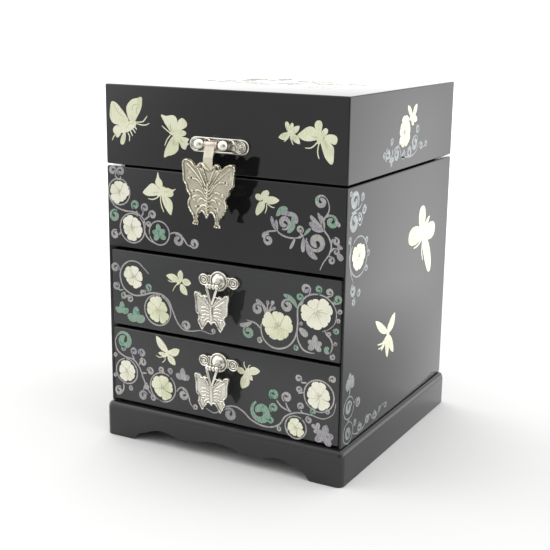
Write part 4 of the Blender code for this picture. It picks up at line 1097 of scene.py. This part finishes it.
topSpray = {
    "butterflies": [
        {"wings": [((-28, 22), (-46, 38), 13, -1.5), ((-26, 23), (-18, 43), 12, 1),
                   ((-28, 20), (-42, 14), 8, 0), ((-25, 20), (-15, 12), 8, 0)],
         "body": ((-31, 12), (-25, 27), 4.0),
         "feelers": [[(-25, 26), (-22, 31), (-24, 36)], [(-24, 25), (-18, 28), (-14, 32)]]},
        {"wings": [((38, -28), (26, -18), 8, 0), ((39, -27), (45, -15), 8, 0),
                   ((39, -30), (50, -34), 7, 0), ((38, -30), (33, -40), 7, 0)],
         "body": ((35, -35), (41, -24), 3.2), "feelers": [[(41, -25), (46, -23), (50, -24)]]},
    ],
    "blossoms": [(2, -2, 11.0, 15), (26, 8, 8.4, 40, "cream"), (-24, -16, 8.4, 5, "cream")],
    "rings": [(2, -2, 13.4, 20), (26, 8, 10.2, 200), (-24, -16, 10.2, 100)],
    "curls": [
        (14, -16, 4.6, 90, 1, "green"), (-10, -20, 4.2, 60, -1, "purple"),
        (-12, 12, 4.6, 250, 1, "green"), (14, 18, 4.0, 200, -1, "purple"),
        (42, 14, 4.8, 180, 1, "green"), (40, 0, 3.4, 160, -1), (-40, -10, 4.8, 0, -1, "green"),
        (-38, -26, 3.6, 60, 1),
        (-54, -14, 3.2, 0, 1, "purple"), (54, 8, 3.2, 180, -1, "purple"), (0, -28, 3.2, 90, 1),
    ],
    "vines": [
        [(-56, -18), (-48, -22), (-38, -18), (-33, -22), (-22, -27), (-12, -22), (-8, -12)],
        [(11, 9), (18, 17), (28, 19), (37, 14), (44, 6), (52, 4), (58, 9)],
        [(10, -12), (16, -20), (12, -24)], [(-10, 4), (-14, 8), (-16, 14)],
    ],
    "leaves": [(30, -2, 7.5, 300, "green", 3), (-30, -2, 7.5, 120, "green", 3),
               (4, 14, 6.0, 80, "purple", 3), (-6, -26, 6.0, 250, "vine", 3)],
}

layInlay("lidFront", frontPanel(frontY), "lid", {"butterflies": lidButterflies})
layInlay("upperFront", frontPanel(frontY), "case", upperPanel)
layInlay("upperDrawer", frontPanel(drawerFaceY), "drawer_upper", upperDrawer)
layInlay("lowerDrawer", frontPanel(drawerFaceY), "drawer_lower", lowerDrawer)
for word, panel in (("right", rightPanel), ("left", leftPanel)):
    layInlay(f"{word}Lid", panel, "lid", sideLid, sideShell)
    layInlay(f"{word}Case", panel, "case", sideCase, sideShell)
layInlay("lidTop", topPanel, "lid", topSpray)
print("shell inlay laid")


def turned(profile, at, steps=40, axis="Y"):  # (along, radius) pairs, out to the front or +X
    rows = []
    for along, radius in profile:
        ring = [(max(radius, 0.00004) * a, max(radius, 0.00004) * b) for a, b in circle(steps)]
        rows.append([Vector(at) + Vector((a, -along, b) if axis == "Y" else (along, a, b)) for a, b in ring])
    return loft(rows)


def rodProfile(half, radius, end, chamfer):
    return [(-half, end), (-half + chamfer, radius), (half - chamfer, radius), (half, end)]


def stadiumPoints(halfLength, radius, steps=14):
    points = []
    for side, start in ((1, -90), (-1, 90)):
        for i in range(steps + 1):
            angle = radians(start + 180 * i / steps)
            points.append((side * (halfLength - radius) + radius * cos(angle), radius * sin(angle)))
    return points


def rimmedPlate(low, high, profile):  # round ends; profile is (inset, out) in mm, over the rim
    middleX, middleZ = (low.x + high.x) / 2, (low.z + high.z) / 2
    rows = []
    for inset, out in profile:
        points = stadiumPoints((high.x - low.x) / 2 - inset * mm, (high.z - low.z) / 2 - inset * mm)
        rows.append([(middleX + x, high.y - out * mm, middleZ + z) for x, z in points])
    return loft(rows)


def join(bm, *others):
    for other in others:
        mesh = bpy.data.meshes.new("joined")
        other.to_mesh(mesh)
        other.free()
        bm.from_mesh(mesh)
        bpy.data.meshes.remove(mesh)
    return bm


rosetteLook = {
    "petals": 6,
    # radius share and height in mm, from the middle out to the edge
    "rings": [(0.02, 1.45), (0.16, 1.40), (0.24, 1.05), (0.42, 1.15), (0.52, 0.85), (0.62, 1.15),
              (0.70, 1.20),
              (0.78, 0.80), (0.86, 1.10), (0.94, 1.25), (1.0, 1.0)],
}


pullRosetteLook = {
    "petals": 0,
    "rings": [(0.02, 1.05), (0.14, 1.30), (0.24, 1.15), (0.30, 0.45), (0.36, 0.40), (0.42, 1.00),
              (0.52, 1.15), (0.60, 1.00),
              (0.66, 0.45), (0.73, 0.45), (0.79, 1.15), (0.90, 1.35), (0.97, 1.20), (1.0, 0.9)],
}


def makeRosette(node, body, look):
    low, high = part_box(node)
    middle = (low + high) / 2
    radius = (high.x - low.x) / 2
    seat = low.y + 0.0017
    around = 48
    rows = []
    for share, height in look["rings"]:
        row = []
        for i in range(around):
            angle = 2 * pi * i / around
            petalHeight = 0.16 * cos(look["petals"] * angle) * (1 if 0.2 < share < 0.6 else 0)
            out = (height + petalHeight) * mm
            r = radius * share
            row.append((middle.x + r * cos(angle), seat - out, middle.z + r * sin(angle)))
        rows.append(row)
    rows.append([(x, seat + 0.0001, z) for x, y, z in rows[-1]])
    shank = [(middle.x + 0.0007 * a, seat + 0.0001, middle.z + 0.0007 * b) for a, b in circle(around)]
    rows.append(shank)
    rows.append([(x, high.y, z) for x, y, z in shank])
    keep(f"{node}_rosette", loft(rows), silver, body, (node,), 50)


def insideOutline(points, outline):
    inside = np.zeros(len(points), bool)
    for (ax, ay), (bx, by) in zip(outline, np.roll(outline, -1, axis=0)):
        crosses = (ay > points[:, 1]) != (by > points[:, 1])
        with np.errstate(divide="ignore", invalid="ignore"):
            at = (bx - ax) * (points[:, 1] - ay) / (by - ay) + ax
        inside ^= crosses & (points[:, 0] < at)
    return inside


def lineDistance(points, line):
    best = np.full(len(points), 1e9)
    for a, b in zip(line, line[1:]):
        a, b = np.array(a), np.array(b)
        run = b - a
        share = np.clip(((points - a) @ run) / max(run @ run, 1e-12), 0, 1)
        best = np.minimum(best, np.hypot(*(points - a - share[:, None] * run).T))
    return best


def castWings(look):  # in mm, flat at the back, relief in front
    right = smoothPath(look["wing"], 4)
    outline = [(x, z) for x, z in right if x > -1e-6]
    outline = outline + [(-x, z) for x, z in reversed(outline) if x > 1e-6]
    outline = np.array([p for i, p in enumerate(outline)
        if hypot(p[0] - outline[i - 1][0], p[1] - outline[i - 1][1]) > 1e-4])
    step = look["step"]
    low, high = outline.min(0), outline.max(0)
    grid = []
    for row in range(int((high[1] - low[1]) / (step * 0.866)) + 2):
        for column in range(int((high[0] - low[0]) / step) + 2):
            grid.append((low[0] + (column + 0.5 * (row % 2)) * step, low[1] + row * step * 0.866))
    grid = np.array(grid)
    closed = np.vstack([outline, outline[:1]])
    grid = grid[insideOutline(grid, outline) & (lineDistance(grid, closed) > step * 0.45)]
    flat = [Vector((float(x), float(z))) for x, z in np.vstack([outline, grid])]
    edges = [(i, (i + 1) % len(outline)) for i in range(len(outline))]
    made = delaunay_2d_cdt(flat, edges, [], 1, 1e-5)
    flat, triangles = made[0], made[2]
    points = np.array([tuple(p) for p in flat])
    edgeGap = lineDistance(points, closed)
    height = np.full(len(points), look["thick"])
    height += look["rim"] * np.exp(-(((edgeGap - 0.55) / 0.42) ** 2))
    height -= look["edgeDrop"] * np.exp(-((edgeGap / 0.22) ** 2))
    height += look["cup"] * (np.abs(points[:, 0]) / high[0]) ** 2
    folded = np.column_stack([np.abs(points[:, 0]), points[:, 1]])
    for line, rise, half in look["veins"]:
        height += rise * np.exp(-((lineDistance(folded, smoothPath(line, 4)) / half) ** 2))
    for x, z, rise, half in look["beads"]:
        height += rise * np.exp(-((np.hypot(folded[:, 0] - x, folded[:, 1] - z) / half) ** 2))
    top, bottom = look["bodySpan"]
    along = np.clip((points[:, 1] - bottom) / (top - bottom), 0, 1)
    width = look["bodyWidth"] * (0.45 + 0.55 * np.sin(pi * along) ** 0.5)
    ribs = 1 - look["ribDepth"] * (0.5 + 0.5 * np.cos(2 * pi * points[:, 1] / look["ribStep"]))
    ends = np.clip(1 - np.abs(points[:, 1] - (top + bottom) / 2) / ((top - bottom) / 2), 0, 1) ** 0.35
    height += look["bodyRise"] * ribs * ends * np.exp(-((points[:, 0] / width) ** 2))
    return points, triangles, height


def wingShape(look, middle, backY):
    points, triangles, height = castWings(look)
    turn = radians(look["turn"])
    points = points @ np.array([[cos(turn), sin(turn)], [-sin(turn), cos(turn)]]) + np.array(look["shift"])
    bm = bmesh.new()
    front = [bm.verts.new((middle[0] + x * mm, backY - h * mm, middle[1] + z * mm))
             for (x, z), h in zip(points, height)]
    back = [bm.verts.new((middle[0] + x * mm, backY, middle[1] + z * mm)) for x, z in points]
    uses = {}
    for a, b, c in triangles:
        bm.faces.new((front[a], front[b], front[c]))
        bm.faces.new((back[c], back[b], back[a]))
        for pair in ((a, b), (b, c), (c, a)):
            uses[frozenset(pair)] = uses.get(frozenset(pair), 0) + 1
    for pair, count in uses.items():
        if count == 1:
            a, b = pair
            bm.faces.new((front[a], front[b], back[b], back[a]))
    return bm


haspLook = {
    "wing": [
        (0, 15.8), (2.5, 17.2), (4.6, 19.6), (7.2, 19.3), (9.2, 17.0), (12.5, 19.6), (15.8, 20.8),
        (19.0, 20.0), (19.5, 17.0),
        (18.8, 11.0), (18.4, 7.0), (16.2, 4.0), (15.6, 1.0), (13.2, -2.5), (14.4, -5.5), (14.3, -8.5),
        (12.8, -11.8),
        (10.4, -14.8), (9.5, -17.5), (10.4, -20.3), (5.6, -20.3), (6.4, -17.0), (5.6, -13.6),
        (3.6, -11.6), (2.0, -12.6), (0, -16.0),
    ],
    "step": 0.42, "thick": 1.35, "rim": 1.1, "edgeDrop": 0.6, "cup": 0.3, "turn": -2.5, "shift": (0.9, -0.7),
    "barrelRadius": 0.0025, "strapThick": 0.0012, "strapHalfWidth": 0.0035,
    "bodySpan": (7.5, -13.5), "bodyWidth": 1.2, "bodyRise": 1.7, "ribDepth": 0.45, "ribStep": 1.7,
    # lines over one wing, mirrored to the other: path, rise, half width
    "veins": [
        ([(0.9, 7.5), (2.2, 11.5), (3.6, 15.0), (4.6, 17.2)], 0.9, 0.34),
        ([(1.6, 5.0), (4.4, 10.0), (7.8, 15.2), (9.4, 16.0)], 0.9, 0.32),
        ([(1.4, 2.4), (5.2, 8.2), (10.4, 13.4), (15.5, 17.6)], 0.85, 0.32),
        ([(1.4, 0.2), (4.2, 5.0), (8.0, 8.4), (12.2, 8.8)], 0.85, 0.32),
        ([(1.4, -2.2), (3.6, 0.4), (6.6, 1.8), (10.0, 1.0)], 0.8, 0.30),
        ([(1.4, -4.4), (3.4, -3.2), (5.4, -3.4), (7.0, -5.2)], 0.7, 0.30),
        ([(1.2, -7.0), (4.0, -7.6), (6.6, -10.4), (7.8, -14.0), (8.0, -19.0)], 0.5, 0.36),
        ([(11.0, -3.2), (8.4, -1.6), (6.0, -1.6)], 0.4, 0.3),
    ],
    "beads": [
        (13.9, 8.4, 0.9, 0.75), (12.6, 8.9, -1.1, 0.7), (11.2, 0.6, 0.8, 0.75), (9.8, 1.0, -0.7, 0.6),
        (7.9, -9.0, 0.9, 0.8),
        (6.4, -8.3, -0.5, 0.7), (5.7, 16.9, -1.3, 0.95), (9.4, -4.6, 0.6, 0.6), (15.4, 13.0, -0.3, 1.6),
        (0.0, 5.6, 0.5, 0.9), (8.0, -19.2, -0.4, 0.7),
    ],
}
pendantLook = {
    "wing": [
        (0, 4.4), (1.1, 4.9), (3.0, 7.6), (5.2, 11.0), (7.8, 10.2), (9.8, 12.0), (12.5, 12.4),
        (13.2, 10.6), (12.4, 6.0), (11.9, -1.0),
        (9.8, -3.6), (10.6, -7.2), (9.0, -10.4), (7.2, -13.2), (5.4, -11.2), (3.0, -7.8), (1.6, -7.4),
        (0, -9.2),
    ],
    "step": 0.38, "thick": 0.9, "rim": 0.8, "edgeDrop": 0.4, "cup": 0.2, "turn": 0.0, "shift": (0.0, -0.3),
    "bodySpan": (4.6, -8.4), "bodyWidth": 0.95, "bodyRise": 1.1, "ribDepth": 0.0, "ribStep": 1.0,
    "veins": [
        ([(1.6, 5.2), (3.4, 8.0), (5.6, 10.0)], 0.7, 0.26),
        ([(2.4, 4.2), (4.6, 7.2), (7.2, 9.4)], 0.55, 0.24),
        ([(1.8, 1.2), (4.2, 2.6), (7.4, 2.2)], 0.55, 0.24),
        ([(1.8, -0.6), (4.4, 0.2), (7.6, -0.2)], 0.55, 0.24),
        ([(1.8, -2.4), (4.4, -2.2), (7.0, -3.0)], 0.55, 0.24),
        ([(2.0, -4.4), (4.2, -5.4), (6.4, -8.6)], 0.5, 0.24),
        ([(9.6, -3.8), (7.6, -4.6), (5.6, -4.2)], 0.55, 0.24),
        ([(3.0, 3.4), (6.4, 5.8), (10.0, 8.4)], 0.45, 0.24),
    ],
    "beads": [(7.4, -6.4, 0.6, 0.6), (10.2, 9.0, -0.25, 1.2), (8.0, 4.6, -0.2, 1.6), (5.6, -6.6, 0.35, 0.5)],
}


latchLook = {"ballRadius": 3.8, "ballAside": 8.8}


def makeLatch(look):
    low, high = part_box("latch_plate")
    plateBack = high.y
    plateLow, plateHigh = Vector((low.x, 0, low.z)), Vector((high.x, plateBack, high.z))
    plate = rimmedPlate(plateLow, plateHigh,
        [(0, 0), (0, 0.75), (0.12, 1.1), (0.40, 1.32), (0.72, 1.28), (1.0, 0.95), (1.25, 0.8),
         (1.9, 0.8), (2.3, 0.92)])
    pinLow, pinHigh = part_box("latch_pin")
    pinMiddle = (pinLow + pinHigh) / 2
    ballRadius, ballAside = look["ballRadius"] * mm, look["ballAside"] * mm
    ballOut = plateBack - pinMiddle.y
    shapes = []
    for x in (-ballAside, ballAside):
        profile = [(0.0009, 0.0030), (0.0013, 0.0029), (0.0016, 0.0024), (0.0032, 0.0021),
                   (ballOut - 0.0030, 0.0021)]
        for i in range(1, 13):
            angle = radians(40 + 140 * i / 12)
            profile.append((ballOut - ballRadius * cos(angle), ballRadius * sin(angle)))
        shapes.append(turned(profile, (x, plateBack, pinMiddle.z)))
    keep("latchPlate", join(plate, *shapes), silver, "lid", ("latch_plate",), 50)
    length = pinHigh.x - pinLow.x
    radius = (pinHigh.z - pinLow.z) / 2
    pin = rodProfile(length / 2, radius, radius * 0.6, 0.0004)
    keep("latchPin", turned(pin, pinMiddle, 24, "X"), silver, "lid", ("latch_pin",))
    for side in ("left", "right"):
        makeRosette(f"latch_nail_{side}", "lid", rosetteLook)


def makeHasp(look):
    low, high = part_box("hasp_strap")
    pinLow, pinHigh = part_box("latch_pin")
    pin = (pinLow + pinHigh) / 2
    half = (high.x - low.x) / 2
    r = look["barrelRadius"]
    barrel = [(-half, r * 0.55), (-half, r * 0.9), (-half + 0.0002, r), (-half + 0.0010, r),
              (-half + 0.0012, r * 0.92), (-half + 0.0016, r * 0.97)]
    barrel += [(-x, radius) for x, radius in reversed(barrel)]
    keep("haspBarrel", turned(barrel, pin, 32, "X"), copper, "hasp", ("hasp_strap",), 40)
    front, back = low.y, low.y + look["strapThick"]
    width = look["strapHalfWidth"]
    profile = [(pin.y - 0.9 * r, pin.z - 0.3 * r), (front + 0.0004, pin.z - r - 0.0047),
               (front, pin.z - r - 0.0056), (front, low.z + 0.0092),
               (back, low.z + 0.0092), (back, pin.z - r - 0.0056), (pin.y - 0.1 * r, pin.z - 0.9 * r)]
    strap = loft([[(x, y, z) for y, z in profile] for x in (-width, width)])
    legs = [softBox((side * 0.0019 if side > 0 else -width, front, low.z),
        (width if side > 0 else -0.0019, back, low.z + 0.0094), 0.0003, 2) for side in (-1, 1)]
    bmesh.ops.bevel(strap, geom=[e for e in strap.edges
        if e.is_manifold and e.calc_face_angle(0) > 0.6], offset=0.0002, segments=2, affect="EDGES")
    keep("haspStrap", join(strap, *legs), warmSilver, "hasp", (), 40)
    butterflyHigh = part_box("hasp_butterfly")[1]
    middleZ = butterflyHigh.z - 0.0208
    keep("haspButterfly", wingShape(look, (0, middleZ), butterflyHigh.y), warmSilver, "hasp",
         ("hasp_butterfly",), 70)
    keeperLow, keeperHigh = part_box("latch_keeper")
    tip = frontY - keeperLow.y
    stud = [(-0.003, 0.0010), (0, 0.0040), (0.0006, 0.0040), (0.0010, 0.0036), (0.0013, 0.0026),
            (0.0016, 0.0015), (tip - 0.0009, 0.0015),
            (tip - 0.0003, 0.0012), (tip, 0.0006)]
    keep("latchKeeper", turned(stud, (0, frontY - 0.0003, (keeperLow.z + keeperHigh.z) / 2)), silver,
         "case", ("latch_keeper",), 50)


def makePull(which, look):
    name = f"pull_{which}"
    slide = f"drawer_{which}"
    low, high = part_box(f"{name}_plate")
    plateBack = high.y
    plateZ = (low.z + high.z) / 2
    pinLow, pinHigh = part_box(f"{name}_pin")
    pin = (pinLow + pinHigh) / 2
    plateLow, plateHigh = Vector((low.x, 0, plateZ - 0.0032)), Vector((high.x, plateBack, plateZ + 0.0032))
    plate = rimmedPlate(plateLow, plateHigh, [(0, 0), (0, 0.8), (0.2, 1.1), (0.5, 1.2), (0.8, 1.1)])
    dome = [(0.0004, 0.0068), (0.0016, 0.0068), (0.0021, 0.0066), (0.0023, 0.0062), (0.0021, 0.0057),
            (0.0018, 0.0054), (0.0021, 0.0050),
            (0.0030, 0.0044), (0.0039, 0.0033), (0.0044, 0.0020), (0.0046, 0.0)]
    shapes = [turned(dome, (0, plateBack, plateZ), 48)]
    eyeHalf, eyeRadius = 0.0019, 0.0022
    for side in (-1, 1):
        cheek = [(side * 0.0006, 0.0), (side * 0.0006, eyeRadius * 0.9), (side * 0.0009, eyeRadius),
                 (side * (eyeHalf - 0.0003), eyeRadius),
                 (side * eyeHalf, eyeRadius * 0.85), (side * eyeHalf, 0.0)]
        shapes.append(turned(cheek, pin, 28, "X"))
        x0, x1 = sorted((side * 0.0006, side * eyeHalf))
        shapes.append(softBox((x0, pin.y, pin.z - eyeRadius * 0.8),
            (x1, plateBack - 0.003, pin.z + eyeRadius * 0.8), 0.0003, 2))
    keep(f"{name}Plate", join(plate, *shapes), silver, slide, (f"{name}_plate",), 50)
    for side in ("left", "right"):
        makeRosette(f"{name}_nail_{side}", slide, pullRosetteLook)
    half, radius = (pinHigh.x - pinLow.x) / 2, (pinHigh.z - pinLow.z) / 2
    rod = rodProfile(half, radius, radius * 0.5, 0.0003)
    keep(f"{name}Pin", turned(rod, pin, 24, "X"), silver, slide, (f"{name}_pin",))
    wingLow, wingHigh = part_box(f"{name}_butterfly")
    loopRadius = wingHigh.z - pin.z
    middleZ = wingLow.z + 0.0132
    wingBack = wingLow.y + 0.0020
    pendant = wingShape(look, (0, middleZ), wingBack)
    bars = []
    loopIn, loopOut = 0.0023, 0.0047
    for side in (-1, 1):
        rows = []
        for ny, nz in circle(32):
            section = []
            for a, b in circle(10):
                across = (loopIn + loopOut) / 2 + (loopOut - loopIn) / 2 * a
                reach = loopRadius - 0.00055 + 0.00052 * b
                section.append((side * across, pin.y + ny * reach, pin.z + nz * reach))
            rows.append(section)
        bars.append(loft(rows + rows[:1], caps=False))
        link = [(side * 0.0017, middleZ + 0.0104), (side * 0.0034, middleZ + 0.0098),
                (side * 0.0053, middleZ + 0.0096)]
        rows = [[(x, wingBack - 0.0006 + 0.0006 * b, z + 0.00045 * a) for a, b in circle(10)]
                for x, z in link]
        bars.append(loft(rows))
        top = (side * 0.0037, pin.z - loopRadius * 0.75)
        foot = (side * 0.0002, middleZ + 0.0044)
        for shift in (-0.00042, 0.00042):
            path = [(top[0] + shift, top[1]), ((top[0] + foot[0]) / 2 + shift, (top[1] + foot[1]) / 2),
                    (foot[0] + shift * 0.6, foot[1])]
            rows = [[(x + 0.0005 * a, wingBack - 0.0007 + 0.0008 * b, z) for a, b in circle(10)]
                    for x, z in path]
            bars.append(loft(rows))
    shape = join(pendant, *bars)
    bmesh.ops.remove_doubles(shape, verts=shape.verts, dist=1e-7)
    keep(f"{name}Butterfly", shape, silver, name, (f"{name}_butterfly",), 70)


def makeHinge(side):
    low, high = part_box(f"hinge_{side}_pin")
    axis = (low + high) / 2
    half = (high.x - low.x) / 2
    inner, gap, radius = 0.0050, 0.0003, 0.0022
    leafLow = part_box(f"hinge_{side}_lid_leaf")[0]
    thin = 0.0010
    plan = {"case": (caseTop + 0.00015, caseTop + 0.00015 + thin,
        ((-half, -inner - gap), (inner + gap, half))),
            "lid": (lidBottom - 0.00015 - thin, lidBottom - 0.00015, ((-inner, inner),))}
    for owner, (z0, z1, knuckles) in plan.items():
        shapes = [softBox((axis.x - half, leafLow.y, z0), (axis.x + half, backY, z1), 0.0002, 2)]
        for x0, x1 in knuckles:
            shapes.append(softBox((axis.x + x0, backY - 0.0005, z0), (axis.x + x1, axis.y, z1), 0.0002, 2))
            middle = (x0 + x1) / 2
            length = (x1 - x0) / 2
            tube = [(-length, radius * 0.5), (-length, radius - 0.0003), (-length + 0.0003, radius),
                    (length - 0.0003, radius),
                    (length, radius - 0.0003), (length, radius * 0.5)]
            shapes.append(turned(tube, (axis.x + middle, axis.y, axis.z), 28, "X"))
        keep(f"hinge_{side}_{owner}", join(*shapes), silver, owner,
             (f"hinge_{side}_{owner}_leaf",), 50)
    rod = rodProfile(half + 0.0002, 0.00095, 0.0004, 0.0003)
    keep(f"hinge_{side}_rod", turned(rod, axis, 20, "X"), silver, "case", (f"hinge_{side}_pin",))


makeLatch(latchLook)
makeHasp(haspLook)
for which in ("upper", "lower"):
    makePull(which, pendantLook)
for side in ("left", "right"):
    makeHinge(side)
print("latch, pulls and hinges made")


studio = {
    "floorColour": (0.74, 0.74, 0.735), "floorFade": (0.155, 0.56), "even": 0.80,
    # soft panels round the set: direction, how wide they fall off, how much they add
    "panels": [
        {"towards": (0.75, 0.62, -0.20), "fall": (0.69, 0.97), "add": 1.55},
        {"towards": (-0.45, 0.85, 0.28), "fall": (0.70, 0.98), "add": 0.85},
        {"towards": (-0.95, -0.05, 0.30), "fall": (0.55, 0.95), "add": 1.2},
        {"towards": (0.62, -0.75, 0.22), "fall": (0.75, 0.97), "add": -0.55},
        {"towards": (0.85, 0.12, 0.50), "fall": (0.60, 0.97), "add": 0.7},
        {"towards": (0.0, 0.0, 1.0), "fall": (0.30, 0.90), "add": 0.6},
    ],
}
cameraLook = {"lens": 70.3, "azimuth": 28.60, "elevation": 13.86, "roll": 0.77, "distance": 0.7872,
              "aim": (-0.0084, 0.0906, 0.1082)}


def softStep(nodes, span, most=1.0):
    step = nodes.new("ShaderNodeMapRange")
    step.interpolation_type = "SMOOTHSTEP"
    step.inputs["From Min"].default_value, step.inputs["From Max"].default_value = span
    step.inputs["To Max"].default_value = most
    return step


def makeStudio(look):
    bm = bmesh.new()
    bmesh.ops.create_grid(bm, x_segments=1, y_segments=1, size=1.5)
    floor = setDown("studioFloor", bm)
    finish, nodes, links, shader = newFinish("paleFloor")
    shader.inputs["Base Color"].default_value = (*look["floorColour"], 1)
    shader.inputs["Roughness"].default_value = 0.9
    place = nodes.new("ShaderNodeTexCoord")
    reach = nodes.new("ShaderNodeVectorMath")
    reach.operation = "LENGTH"
    links.new(place.outputs["Object"], reach.inputs[0])
    fade = softStep(nodes, look["floorFade"])  # the sheet fades out with distance into the bright world
    links.new(reach.outputs["Value"], fade.inputs["Value"])
    clear = nodes.new("ShaderNodeBsdfTransparent")
    blend = nodes.new("ShaderNodeMixShader")
    links.new(fade.outputs["Result"], blend.inputs["Fac"])
    links.new(shader.outputs["BSDF"], blend.inputs[1])
    links.new(clear.outputs["BSDF"], blend.inputs[2])
    links.new(blend.outputs["Shader"], nodes["Material Output"].inputs["Surface"])
    floor.data.materials.append(finish)
    world = bpy.data.worlds.new("softStudio")
    bpy.context.scene.world = world
    world.use_nodes = True
    nodes, links = world.node_tree.nodes, world.node_tree.links
    sky = nodes["Background"]
    place = nodes.new("ShaderNodeTexCoord")
    total = None
    for panel in look["panels"]:
        towards = nodes.new("ShaderNodeVectorMath")
        towards.operation = "DOT_PRODUCT"
        towards.inputs[1].default_value = Vector(panel["towards"]).normalized()
        links.new(place.outputs["Generated"], towards.inputs[0])
        glow = softStep(nodes, panel["fall"], panel["add"])
        links.new(towards.outputs["Value"], glow.inputs["Value"])
        whole = nodes.new("ShaderNodeMath")
        whole.operation = "ADD"
        whole.inputs[1].default_value = look["even"]
        links.new(glow.outputs["Result"], whole.inputs[0])
        if total:
            links.new(total.outputs["Value"], whole.inputs[1])
        total = whole
    links.new(total.outputs["Value"], sky.inputs["Strength"])
    sky.inputs["Color"].default_value = (1, 1, 1, 1)


def makeCamera(look):
    az, el, roll = (radians(look[key]) for key in ("azimuth", "elevation", "roll"))
    aim = Vector((look["aim"][0], frontY + look["aim"][1], look["aim"][2]))
    back = Vector((sin(az) * cos(el), -cos(az) * cos(el), sin(el)))
    lens = bpy.data.cameras.new("studioCamera")
    lens.lens, lens.sensor_width = look["lens"], 36
    lens.clip_start, lens.clip_end = 0.02, 50
    camera = bpy.data.objects.new("studioCamera", lens)
    right = Vector((cos(az), sin(az), 0))
    up = back.cross(right)
    axisX = cos(roll) * right + sin(roll) * up
    axisY = back.cross(axisX)
    turn = Matrix((axisX, axisY, back)).transposed()
    camera.matrix_world = Matrix.Translation(aim + back * look["distance"]) @ turn.to_4x4()
    bpy.context.scene.collection.objects.link(camera)
    bpy.context.scene.camera = camera


makeStudio(studio)
makeCamera(cameraLook)
bpy.context.scene.view_settings.view_transform = "Standard"
print("studio ready")
